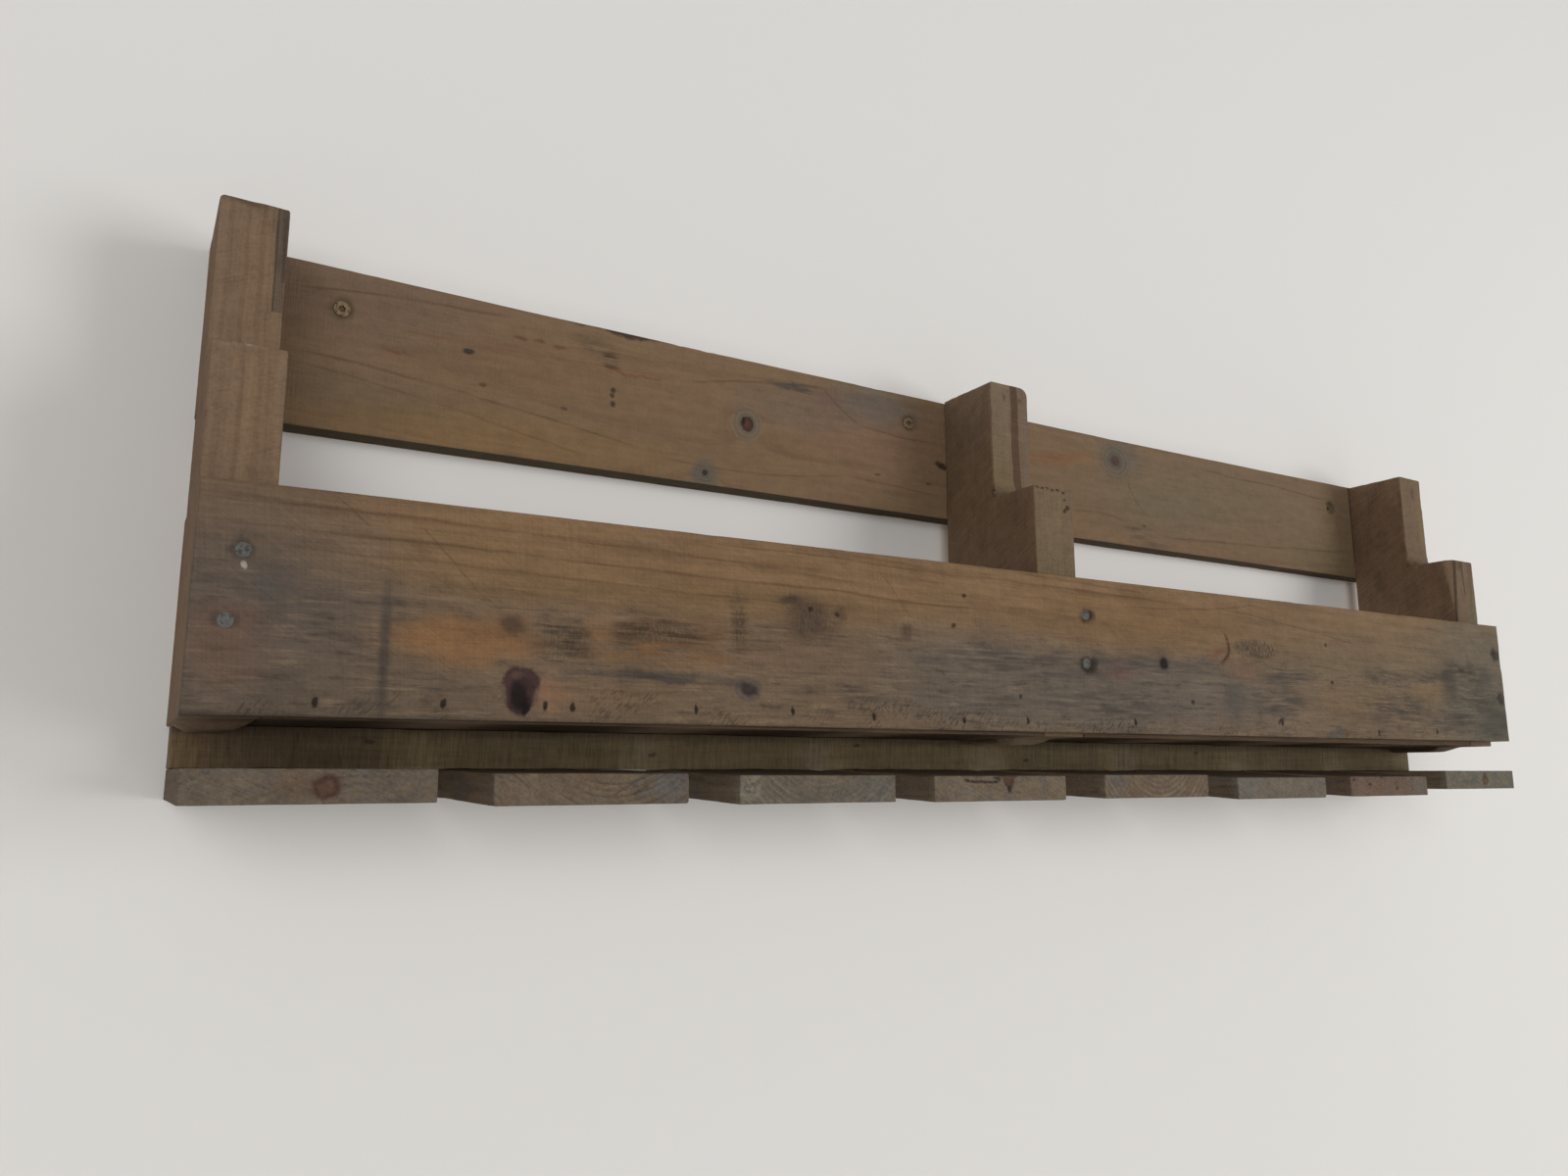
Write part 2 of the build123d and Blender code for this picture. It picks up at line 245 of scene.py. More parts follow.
class Wood:
    """The finish of one piece of wood, with its growth rings cut through by the piece's own faces.

    Sizes are in millimetres and colours in screen values. The grain runs along one axis, and marks
    lie on the face, a place along Y.
    """

    def __init__(self, name, grain, face, seed=0.0):
        self.material, self.tree = blank_material(name)
        place = self.tree.nodes.new("ShaderNodeTexCoord")
        metres = Field(self.tree, place.outputs["Object"])
        self.place = metres.seen_from(NOWHERE, (MM, MM, MM))
        self.order = AXES[grain]
        self.face = face
        self.seed = seed
        self.solid = self.place.vector("ADD", NOWHERE)
        self.ragged = self.shaken(13.0, 4.5, 2.6, 1.5)
        self.rippled = self.shaken(6.0, 1.2, 1.6, 0.5)
        self.eased = self.shaken(60.0, 2.2, 9.0, 0.3)
        self.streaks = self.grain_noise(32.0, 2.6, 3.0, 0.6, 7.0)

    def shaken(self, size, amount, small_size, small_amount):
        """The place field, moved about by noise of two sizes."""
        shift = self.seed + size
        broad = self.place.seen_from((shift, shift, shift), (size, size, size)).noise(1.0, 0.5, "Color")
        small = self.place.seen_from((shift, shift, shift), (small_size,) * 3).noise(1.0, 0.5, "Color")
        place = broad.vector("MULTIPLY_ADD", (amount * 2,) * 3, self.solid)
        place = small.vector("MULTIPLY_ADD", (small_amount * 2,) * 3, place)
        total = amount + small_amount
        return place.vector("SUBTRACT", (total, total, total))

    def reach(self, place, centre, sizes, turn=0.0):
        """Distance from a centre in each axis's own size, with X and Z turned about Y."""
        if turn == 0.0:
            scale = tuple(1.0 / size for size in sizes)
            shift = tuple(-middle / size for middle, size in zip(centre, sizes))
            return place.vector("MULTIPLY_ADD", scale, shift).vector("LENGTH", output=1)
        side, deep, rise = self.turned(place, centre, sizes, turn)
        total = side * side + rise * rise + deep * deep
        return total.calculate("SQRT")

    def turned(self, place, centre, sizes, turn):
        """The three parts of a place, measured from a centre, with X and Z turned about Y."""
        away = place.vector("SUBTRACT", centre)
        angle = math.radians(turn)
        across = (math.cos(angle) / sizes[0], 0.0, -math.sin(angle) / sizes[0])
        upward = (math.sin(angle) / sizes[2], 0.0, math.cos(angle) / sizes[2])
        inward = (0.0, 1.0 / sizes[1], 0.0)
        return [away.part_along(direction) for direction in (across, inward, upward)]

    def grain_noise(self, length, width, detail=2.0, roughness=0.5, shift=0.0, turn=0.0):
        """Noise drawn out along the grain, or turned away from it in the XZ plane."""
        sizes = [width, width, width]
        sizes[self.order[0]] = length
        shift = shift + self.seed
        return self.place.seen_from((shift, shift * 1.7, shift * 2.3), sizes, turn).noise(detail, roughness)

    def grow(
        self, pith, lean, ring, early, late, contrast=0.6, warp=4.0, bow=0.0, knots=(), fibre=0.5, speck=0.3
    ):
        """Growth rings, bent round the knots, with fibres and slow changes of colour.

        The pith is the tree's centre line: its two places across the grain, how much each leans along
        it, and how much the tree's bow adds to its distance.
        """
        parts = self.place.split()
        along = parts[self.order[0]]
        first = parts[self.order[1]] - (along * lean[0] + pith[0])
        second = parts[self.order[2]] - (along * lean[1] + pith[1])
        radius = (first * first + second * second).calculate("SQRT")
        if bow:
            bow_middle = 30.0
            bow_reach = 500.0
            offset = (along - bow_middle) * (1.0 / bow_reach)
            radius = radius + offset * offset * bow
        for x, z, size, push in knots:
            near = self.reach(self.solid, (x, self.face, z), (size * 1.6, 60.0, size))
            radius = radius + (near * near * -1.0).calculate("EXPONENT") * push
        radius = radius + (self.grain_noise(170.0, 24.0, 1.0, shift=3.1) - 0.5) * (warp * 2.0)
        radius = radius + (self.grain_noise(38.0, 8.0, 2.0, shift=7.7) - 0.5) * (warp * 0.3)
        count = radius * (1.0 / ring)
        turn = count.calculate("FRACT")
        band = turn.between(0.3, 0.94) - turn.between(0.94, 1.0)
        band = band * count.each().between(0.0, 1.0, 0.15, 1.0)
        band = band * self.grain_noise(110.0, 16.0, 1.0, shift=11.0).between(0.3, 0.7, 0.3, 1.0)
        fine = self.grain_noise(22.0, 0.9, 3.0, 0.65, 1.3)
        coarse = self.grain_noise(60.0, 3.4, 3.0, 0.6, 5.9)
        patches = self.grain_noise(34.0, 11.0, 4.0, 0.62, 9.1)
        specks = self.place.seen_from((2.0, 5.0, 1.0), (1.5, 1.5, 1.5)).noise(2.0, 0.6)
        mottle = self.place.seen_from((7.0, 3.0, 9.0), (9.0, 9.0, 6.0)).noise(3.0, 0.6)
        self.light = (fine - 0.5) * fibre + (coarse - 0.5) * fibre + (patches - 0.5) * fibre
        self.light = self.light + (mottle - 0.5) * 0.35
        self.light = self.light + (specks - 0.5) * speck
        self.colour = plain_colour(self.tree, early).toward(late, band * contrast)
        self.height = band * -0.15 + fine * 0.5 + coarse * 0.3

    def rub(self, colour, amount):
        """Mixes a colour in by a field or a plain amount."""
        self.colour = self.colour.toward(colour, amount)

    def saw_marks(self, turn, length, width, strength, shift=0.0, axis=0):
        """Fine lines left by the saw, light and dark, drawn out along an axis and turned from it."""
        sizes = [width, width, width]
        sizes[axis] = length
        marks = self.place.seen_from((shift, shift, shift), sizes, turn).noise(2.0, 0.55)
        marks = marks - 0.5
        self.light = self.light + marks * strength
        self.height = self.height + marks * 0.8

    def stain(self, x, z, half_x, half_z, colour, strength, soft=0.6, kind=WHOLE, turn=0.0, deep=9.0):
        """A soft-edged patch on the face, of one of the three kinds."""
        place = self.rippled if kind == SMOOTH else self.ragged
        near = self.reach(place, (x, self.face, z), (half_x, deep, half_z), turn)
        amount = near.between(1.0 - soft, 1.0 + soft, strength, 0.0)
        if kind == BROKEN:
            amount = amount * self.streaks.between(0.38, 0.6)
        self.rub(colour, amount)

    def stains(self, *rows, **shared):
        """Stains one over another, each row as stain takes it."""
        for row in rows:
            self.stain(*row, **shared)

    def spots(self, places, half_x, half_z, colour, strength):
        """Small marks of one kind."""
        for x, z in places:
            self.stain(x, z, half_x, half_z, colour, strength, 0.45, SMOOTH, deep=4.0)

    def stripe(self, low, high, bottom, colour, strength):
        """An upright band between two places across the face, with its lower end cut square."""
        across = self.eased.part_along(RIGHT)
        band = across.between(low - 0.4, low + 0.4) * across.between(high - 0.4, high + 0.4, 1.0, 0.0)
        above = self.place.part_along(UP).between(bottom - 0.4, bottom + 0.4)
        self.rub(colour, band * above * strength)

    def line(self, start, end, sag, width, colour, strength, deep=12.0):
        """A long dark grain line from one place to another, sagging by an amount between them."""
        x0, z0 = start
        x1, z1 = end
        turn = math.degrees(math.atan2(z0 - z1, x1 - x0))
        half = math.hypot(x1 - x0, z1 - z0) / 2
        centre = ((x0 + x1) / 2, self.face, (z0 + z1) / 2)
        side, deep, rise = self.turned(self.eased, centre, (half, deep, width), turn)
        bend = (side * side * -1.0 + 1.0) * (sag / width)
        off = (rise + bend).calculate("ABSOLUTE")
        inside = side.calculate("ABSOLUTE").between(0.75, 1.05, 1.0, 0.0)
        depth = deep.calculate("ABSOLUTE").between(0.8, 1.2, 1.0, 0.0)
        worn = self.streaks.between(0.3, 0.6, 0.45, 1.0)
        self.rub(colour, off.between(0.1, 1.5, strength, 0.0) * inside * depth * worn)

    def lines(self, *rows):
        """Grain lines, each row as line takes it."""
        for row in rows:
            self.line(*row)

    def knot(self, x, z, size, heart, rim, halo, halo_size=2.0, long=1.0, turn=0.0):
        """A knot: its heart, its dark rim, ripples of grain and a stained halo round it."""
        near = self.reach(self.rippled, (x, self.face, z), (size * long, 40.0, size), turn)
        self.rub(halo, near.between(0.9, halo_size, 0.7, 0.0))
        ripple = (near * 9.0).calculate("SINE") * near.between(1.0, halo_size * 1.1, 0.13, 0.0)
        self.light = self.light + ripple
        self.rub(rim, near.between(0.85, 1.12, 0.9, 0.0))
        self.rub(heart, near.between(0.5, 0.95, 0.92, 0.0))
        self.height = self.height - near.between(0.7, 1.1, 1.2, 0.0)

    def finish(self, roughness=0.82, bump_distance=0.35 * MM):
        rough = self.streaks.between(0.0, 1.0, roughness - 0.08, roughness + 0.08)
        colour = self.colour.shaded(self.light + 1.0)
        surface_of(self.tree, colour, self.height, rough, bump_distance, Specular_IOR_Level=0.15)
        return self.material


# Meshes


def spread_noise(points, size, seed):
    """Smooth noise from 0 to 1 at each point, with features of the given size."""
    scaled = points / size + seed * 17.3
    cell = np.floor(scaled)
    part = scaled - cell
    part = part * part * (3 - 2 * part)
    total = np.zeros(len(points))
    for corner in range(8):
        step = np.array([(corner >> axis) & 1 for axis in range(3)])
        mixed = (cell + step) @ np.array([127.1, 311.7, 74.7]) + seed * 53.0
        value = np.mod(np.sin(mixed) * 43758.5453, 1.0)
        weight = np.prod(np.where(step == 1, part, 1 - part), axis=1)
        total += value * weight
    return total


def shell_of(solid):
    """Quads of the outside of a block of cells, as places in the lattice, facing outwards."""
    padded = np.pad(solid, 1)
    found = []
    for axis in range(3):
        second = (axis + 1) % 3
        third = (axis + 2) % 3
        for side in (1, -1):
            open_side = padded & ~np.roll(padded, -side, axis)
            cells = np.argwhere(open_side[1:-1, 1:-1, 1:-1])
            corners = np.zeros((4, 3), int)
            corners[1:3, second] = 1
            corners[2:4, third] = 1
            if side > 0:
                corners[:, axis] = 1
            else:
                corners = corners[::-1]
            found.append(cells[:, None, :] + corners[None])
    quads = np.concatenate(found)
    rows = [n + 1 for n in solid.shape]
    flat = (quads[..., 0] * rows[1] + quads[..., 1]) * rows[2] + quads[..., 2]
    used, index = np.unique(flat, return_inverse=True)
    places = np.stack([used // (rows[1] * rows[2]), used // rows[2] % rows[1], used % rows[2]], axis=1)
    return places, index.reshape(-1, 4)


def points_at(places, lines):
    """Places in the lattice as points."""
    return np.stack([lines[axis][places[:, axis]] for axis in range(3)], axis=1)


def settle(points, distance):
    """Moves points on to the surface where a distance field is zero."""
    nudge = 1e-5
    rounds = 8
    for _ in range(rounds):
        value = distance(points)
        slope = np.empty_like(points)
        for axis in range(3):
            step = np.zeros(3)
            step[axis] = nudge
            slope[:, axis] = (distance(points + step) - value) / nudge
        length = np.maximum(np.linalg.norm(slope, axis=1), 0.3)
        points = points - slope * (value / length**2)[:, None]
    return points


def mesh_object(name, points, faces, material):
    mesh = bpy.data.meshes.new(name)
    mesh.from_pydata(points.tolist(), [], faces.tolist())
    mesh.materials.append(material)
    mesh.shade_smooth()
    mesh.update()
    return placed_object(name, mesh)


CLOSEST_LINES = 0.12 * MM


def even_lines(low, high, step, edge, extra=()):
    """Lattice lines from low to high: close together at both edges, even between, and finer at extras."""
    near = np.array([0.0, 0.25, 0.6, 1.0, 1.5]) * edge
    count = max(2, int(round((high - low - 2 * near[-1]) / step)))
    middle = np.linspace(low + near[-1], high - near[-1], count + 1)
    lines = [*(low + near), *middle, *(high - near)]
    for place, reach, fine in extra:
        lines.extend(np.arange(max(low, place - reach), min(high, place + reach), fine))
    lines = np.array(sorted(lines))
    keep = [0]
    for index in range(1, len(lines)):
        if lines[index] - lines[keep[-1]] > CLOSEST_LINES:
            keep.append(index)
    lines = lines[keep]
    lines[-1] = high
    return lines


def past_corner(parts):
    """Distance from where flat faces meet, given the distance past each of them."""
    return np.linalg.norm(np.maximum(parts, 0), axis=1) + np.minimum(parts.max(axis=1), 0)


def rounded_box(points, low, high, radius):
    """Distance from a box whose edges are rounded by a radius."""
    outside = np.maximum(low - points, points - high) + radius[:, None]
    return past_corner(outside) - radius


def worn_radius(points, seed, least, most):
    """Edge rounding that changes along a piece: mostly small, larger where it has been knocked."""
    slow = spread_noise(points, 24 * MM, seed)
    quick = spread_noise(points, 5 * MM, seed + 5)
    knocks = np.clip((slow * 0.65 + quick * 0.35 - 0.45) / 0.35, 0, 1) ** 2
    return least + (most - least) * knocks


def surface_waves(points, seed, depth):
    """Slight hollows all over a sawn face, always inwards."""
    broad = spread_noise(points, 45 * MM, seed + 2)
    small = spread_noise(points, 7 * MM, seed + 3)
    return depth * (0.7 * broad + 0.3 * small)


def cad_points(node):
    return np.array([v.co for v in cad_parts[node].data.vertices])


def span_at(node, along, across, end):
    """Lowest and highest place across a CAD node, at its low or high end along an axis."""
    points = cad_points(node)
    place = points[:, along].min() if end < 0 else points[:, along].max()
    there = points[np.abs(points[:, along] - place) < 0.01 * MM]
    return there[:, across].min(), there[:, across].max()


def dress(piece, node):
    """Makes a piece stand for a CAD node and ride on the rack."""
    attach(piece, "root")
    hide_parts(node)


def dented(face, dents):
    """A relief function: round hollows sunk into a face that looks along -Y."""

    def relief(points):
        total = np.zeros(len(points))
        front = np.clip(1 - (points[:, 1] - face * MM) / (3 * MM), 0, 1)
        for x, z, radius, depth in dents:
            away = np.hypot(points[:, 0] - x * MM, points[:, 2] - z * MM) / (radius * MM)
            total += depth * MM * np.clip((1.25 - away) / 0.55, 0, 1) * front
        return total

    return relief


def make_timber(node, material, lines, spans, edges, seed, relief=None):
    """A board, batten or finger: a box between two span functions, with worn edges and uneven faces."""
    solid = np.ones([len(line) - 1 for line in lines], bool)
    places, faces = shell_of(solid)
    share = points_at(places, lines)
    low, high = spans(share)
    ends = np.array([[line[0], line[-1]] for line in lines])
    unit = (share - ends[:, 0]) / (ends[:, 1] - ends[:, 0])
    points = low + unit * (high - low)
    radius = worn_radius(points, seed, *edges)
    inward = surface_waves(points, seed, 0.25 * MM)
    if relief is not None:
        inward = inward + relief(points)

    def distance(where):
        lows, highs = spans(where)
        return rounded_box(where, lows, highs, radius) + inward

    piece = mesh_object(node + "_timber", settle(points, distance), faces, material)
    dress(piece, node)


def board_spans(node, top=None):
    """Spans of a board along X whose lower and upper edges run straight between its ends."""
    low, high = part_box(node)
    left = span_at(node, 0, 2, -1)
    right = span_at(node, 0, 2, 1)

    def spans(points):
        lows = np.ones_like(points) * np.array(low)
        highs = np.ones_like(points) * np.array(high)
        share = (points[:, 0] - low.x) / (high.x - low.x)
        lows[:, 2] = left[0] + share * (right[0] - left[0])
        highs[:, 2] = left[1] + share * (right[1] - left[1])
        if top is not None:
            highs[:, 2] = np.interp(points[:, 0], *top)
        return lows, highs

    return spans


def finger_spans(node, batten_front):
    """Spans of a finger: level under the batten, sagging from there to its front end."""
    low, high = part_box(node)
    front = span_at(node, 1, 2, -1)
    back = span_at(node, 1, 2, 1)
    stations = [low.y, batten_front, high.y]

    def spans(points):
        lows = np.ones_like(points) * np.array(low)
        highs = np.ones_like(points) * np.array(high)
        lows[:, 2] = np.interp(points[:, 1], stations, [front[0], back[0], back[0]])
        highs[:, 2] = np.interp(points[:, 1], stations, [front[1], back[1], back[1]])
        return lows, highs

    return spans


# Faces that look to the front
FRONT_FACE = -119.0
BACK_BOARD_FACE = -15.0
STRINGER_FACE = -104.0

# Hollows: the face's place, then each one's X, Z, radius and depth
DENTS = {
    "front_board": (
        FRONT_FACE,
        ((-370.5, -212, 6.5, 1.6), (72.3, -176.3, 3.4, 0.8), (99.3, -201.2, 1.6, 1.0)),
    ),
    "upper_back_board": (
        BACK_BOARD_FACE,
        (
            (-443, 0, 5.0, 1.0),
            (-58, 0, 5.0, 1.1),
            (443, 0, 5.0, 3.2),
            (-191.5, -22.8, 4.6, 0.5),
            (152.5, 3, 5.5, 0.4),
        ),
    ),
}

# Every piece: how far from an edge its mesh lines lie close together
EDGE = 2 * MM
# Round a hollow, how far apart the mesh lines lie
FINE_STEP = 0.9 * MM
# The upper back board: how far below its highest point its wavy top edge reaches
RIM_DEPTH = 9 * MM

# The notch of the stringers: its shoulder, the neck's front and the corner between them
SHOULDER = -61.5 * MM
NECK_FRONT = -65.5 * MM
NOTCH_FILLET = 14 * MM

# The bare slanting edge of the right stringer: a place on it, and the way that it faces
WANE_PLACE = (474.0, -104.0, -115.5)
WANE_NORMAL = (-0.756, -0.648, 0.084)


def lines_through(low, high, place):
    """Lattice lines from low to high, one of them at a given place."""
    lines = even_lines(low, high, 2.5 * MM, EDGE, [(place, 0.1 * MM, 1.0)])
    lines[np.argmin(np.abs(lines - place))] = place
    return lines


def make_stringer(node, material, seed, worn_corners=(2.0, 2.0), wane=None):
    """A notched stringer: a block up to the shoulder, a filleted step, and a neck above it."""
    low, high = (np.array(corner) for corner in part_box(node))
    x_lines = even_lines(low[0], high[0], 2.2 * MM, EDGE)
    y_lines = lines_through(low[1], high[1], NECK_FRONT)
    z_lines = lines_through(low[2], high[2], SHOULDER)
    lines = (x_lines, y_lines, z_lines)
    solid = np.ones([len(line) - 1 for line in lines], bool)
    y_middles = (y_lines[1:] + y_lines[:-1]) / 2
    z_middles = (z_lines[1:] + z_lines[:-1]) / 2
    solid &= ~((y_middles[None, :, None] < NECK_FRONT) & (z_middles[None, None, :] > SHOULDER))
    places, faces = shell_of(solid)
    points = points_at(places, lines)
    radius = worn_radius(points, seed, 0.9 * MM, 2.4 * MM)
    inward = surface_waves(points, seed, 0.3 * MM)
    top_share = np.clip(1 - (high[2] - points[:, 2]) / (2.5 * MM), 0, 1)
    inward = inward + top_share * 0.5 * MM * spread_noise(points, 4.5 * MM, seed + 8)

    def distance(where):
        side = np.maximum(low[0] - where[:, 0], where[:, 0] - high[0]) + radius
        plan = where[:, 1:]

        def plate(y_low, y_high, z_low, z_high):
            corner_low = np.array([y_low, z_low])
            corner_high = np.array([y_high, z_high])
            return past_corner(np.maximum(corner_low - plan, plan - corner_high) + radius[:, None])

        block = plate(low[1], high[1], low[2], SHOULDER)
        column = plate(NECK_FRONT, high[1], low[2], high[2])
        bend = NOTCH_FILLET + radius
        both = np.stack([bend - block, bend - column], axis=1)
        outline = np.maximum(bend, np.minimum(block, column))
        outline = outline - np.linalg.norm(np.maximum(both, 0), axis=1)
        pair = np.stack([side, outline], axis=1)
        value = past_corner(pair) - radius + inward
        for sign, end, worn in ((-1, low[0], worn_corners[0]), (1, high[0], worn_corners[1])):
            away = sign * (where[:, 0] - end)
            cut = np.stack([away, where[:, 2] - high[2]], axis=1) + worn * MM
            value = np.maximum(value, past_corner(cut) - worn * MM + inward)
        if wane is not None:
            origin, normal = wane
            value = np.maximum(value, (where - origin) @ normal + inward)
        return value

    piece = mesh_object(node + "_timber", settle(points, distance), faces, material)
    dress(piece, node)


# Fasteners


def pins_of(node):
    """The pins of a fastener node: each one's lowest and highest corners, read from the CAD node."""
    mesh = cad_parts[node].data
    points = cad_points(node)
    cells = np.round(points / (0.02 * MM)).astype(int)
    keys = {}
    weld = [keys.setdefault(tuple(cell), len(keys)) for cell in cells]
    group = list(range(len(keys)))

    def root(index):
        while group[index] != index:
            group[index] = group[group[index]]
            index = group[index]
        return index

    for edge in mesh.edges:
        group[root(weld[edge.vertices[0]])] = root(weld[edge.vertices[1]])
    labels = np.array([root(index) for index in weld])
    return [(points[labels == label].min(0), points[labels == label].max(0)) for label in sorted(set(labels))]


FASTENER_SIDES = 24
# What says the size of a fastener, in millimetres but for the number of lobes
FASTENER_SIZES = (
    "Head Radius",
    "Head Edge",
    "Head Cone",
    "Recess Radius",
    "Recess Depth",
    "Recess Lobes",
    "Shank Radius",
    "Length",
    "Point Length",
)
NAIL = (3.4, 0.9, 0.5, 0.5, 0.05, 0, 1.4, 50, 4)
BRAD = (1.0, 0.6, 0.3, 0.3, 0.05, 0, 0.8, 30, 4)
SCREW = (3.4, 0.3, 2.4, 1.6, 1.2, 6, 1.5, 30, 6)
WALL_SCREW = (4.3, 0.5, 2.6, 1.9, 2.2, 6, 2.3, 12.0, 2.0)
# Middles of the wall screws' heads
WALL_SCREWS = ((-443.0, -14.75, 0.0), (-58.0, -14.5, 0.0), (443.0, -12.6, 0.0))


def picked(index, values):
    """The value whose place in the list is the index."""
    step = node_of(index.tree, "GeometryNodeIndexSwitch", data_type="FLOAT")
    while len(step.index_switch_items) < len(values):
        step.index_switch_items.new()
    connect(index.tree, step.inputs["Index"], index)
    for place, value in enumerate(values):
        connect(index.tree, step.inputs[place + 1], value)
    return Field(index.tree, step.outputs[0])


def fastener_tree():
    """A turned fastener on every point: a head with a recess, a cone under it, a shank and a point."""
    tree = bpy.data.node_groups.new("turned_fastener", "GeometryNodeTree")
    kinds = {"Sites": "Geometry"}
    kinds.update({name: "Float" for name in FASTENER_SIZES})
    kinds.update({"Facing": "Rotation", "Seed": "Int", "Finish": "Material"})
    for name, kind in kinds.items():
        tree.interface.new_socket(name, in_out="INPUT", socket_type="NodeSocket" + kind)
    tree.interface.new_socket("Pieces", in_out="OUTPUT", socket_type="NodeSocketGeometry")
    given = node_of(tree, "NodeGroupInput")
    link = tree.links.new
    size = {name: Field(tree, given.outputs[name]) for name in FASTENER_SIZES}
    # Rings from the middle of the recess, over the head and down the shank to the point
    recess_floor = size["Recess Depth"] * -1.0
    head_under = size["Head Edge"] * -1.0
    cone_end = head_under - size["Head Cone"]
    shank_end = size["Point Length"] - size["Length"]
    rim_radius = size["Head Radius"] * 0.93
    floor_radius = size["Recess Radius"] * 0.82
    edge_drop = size["Head Edge"] * -0.35
    radii = [0.0, floor_radius, size["Recess Radius"], rim_radius, size["Head Radius"], size["Head Radius"]]
    radii += [size["Shank Radius"], size["Shank Radius"], 0.0]
    heights = [recess_floor, recess_floor, 0.0, 0.0, edge_drop, head_under]
    heights += [cone_end, shank_end, size["Length"] * -1.0]
    lobes = [0.0, 0.16, 0.16, 0.0, 0.0, 0.0, 0.0, 0.0, 0.0]
    ring_count = float(len(radii))
    grid = node_of(tree, "GeometryNodeMeshGrid")
    grid.inputs["Vertices X"].default_value = FASTENER_SIDES + 1
    grid.inputs["Vertices Y"].default_value = len(radii)
    index = Field(tree, node_of(tree, "GeometryNodeInputIndex").outputs[0])
    around = (index + 0.5).calculate("DIVIDE", ring_count).calculate("FLOOR")
    ring = index - around * ring_count
    angle = around * (math.tau / FASTENER_SIDES)
    wave = (angle * size["Recess Lobes"]).calculate("COSINE")
    radius = picked(ring, radii)
    radius = radius * (wave * picked(ring, lobes) + 1.0)
    place = node_of(tree, "ShaderNodeCombineXYZ")
    connect(tree, place.inputs["X"], radius * angle.calculate("COSINE"))
    connect(tree, place.inputs["Y"], radius * angle.calculate("SINE"))
    connect(tree, place.inputs["Z"], picked(ring, heights))
    turned = node_of(tree, "GeometryNodeSetPosition")
    link(grid.outputs["Mesh"], turned.inputs["Geometry"])
    link(place.outputs[0], turned.inputs["Position"])
    closed = node_of(tree, "GeometryNodeMergeByDistance")
    closed.inputs["Distance"].default_value = 0.01 * MM
    link(turned.outputs[0], closed.inputs["Geometry"])
    # One on every point, each with a spin of its own
    spin = node_of(tree, "FunctionNodeRandomValue", data_type="FLOAT")
    spin.inputs["Max"].default_value = math.tau
    link(given.outputs["Seed"], spin.inputs["Seed"])
    spun = node_of(tree, "FunctionNodeAxisAngleToRotation")
    spun.inputs["Axis"].default_value = (0.0, 0.0, 1.0)
    random_output = next(output for output in spin.outputs if output.enabled)
    link(random_output, spun.inputs["Angle"])
    facing = node_of(tree, "FunctionNodeRotateRotation", rotation_space="LOCAL")
    link(given.outputs["Facing"], facing.inputs["Rotation"])
    link(spun.outputs[0], facing.inputs["Rotate By"])
    placed = node_of(tree, "GeometryNodeInstanceOnPoints")
    link(given.outputs["Sites"], placed.inputs["Points"])
    link(closed.outputs[0], placed.inputs["Instance"])
    link(facing.outputs[0], placed.inputs["Rotation"])
    real = node_of(tree, "GeometryNodeRealizeInstances")
    link(placed.outputs[0], real.inputs[0])
    finish = node_of(tree, "GeometryNodeSetMaterial")
    link(real.outputs[0], finish.inputs["Geometry"])
    link(given.outputs["Finish"], finish.inputs["Material"])
    out = node_of(tree, "NodeGroupOutput")
    link(finish.outputs[0], out.inputs[0])
    return tree


FACING = {
    "front": (math.pi / 2, 0.0, 0.0),
    "back": (-math.pi / 2, 0.0, 0.0),
    "below": (math.pi, 0.0, 0.0),
}


def make_fasteners(name, tree, sites, facing, sizes, finish, seed):
    """Turns fasteners at the sites and leaves them as one plain mesh."""
    start = bpy.data.meshes.new(name + "_sites")
    start.from_pydata([tuple(site) for site in sites], [], [])
    thing = placed_object(name, start)
    making = thing.modifiers.new("turning", "NODES")
    making.node_group = tree
    ids = {item.name: item.identifier for item in tree.interface.items_tree if item.in_out == "INPUT"}
    for label, value in zip(FASTENER_SIZES, sizes, strict=True):
        making[ids[label]] = value
    making[ids["Facing"]] = FACING[facing]
    making[ids["Seed"]] = seed
    making[ids["Finish"]] = finish
    graph = bpy.context.evaluated_depsgraph_get()
    made = bpy.data.meshes.new_from_object(thing.evaluated_get(graph))
    made.name = name
    thing.modifiers.remove(making)
    thing.data = made
    bpy.data.meshes.remove(start)
    work = bmesh.new()
    work.from_mesh(made)
    bmesh.ops.recalc_face_normals(work, faces=work.faces)
    work.to_mesh(made)
    work.free()
    return thing


def head_sites(node, facing):
    """Middle of each pin's head, on the side that it faces."""
    sites = []
    for low, high in pins_of(node):
        site = (low + high) / 2
        if facing == "front":
            site[1] = low[1]
        elif facing == "back":
            site[1] = high[1]
        else:
            site[2] = low[2]
        sites.append(site)
    return sites


def in_metres(sizes):
    """A fastener's sizes for its tree; only the number of lobes stays as it is."""
    lobes = FASTENER_SIZES.index("Recess Lobes")
    return [value if index == lobes else value * MM for index, value in enumerate(sizes)]


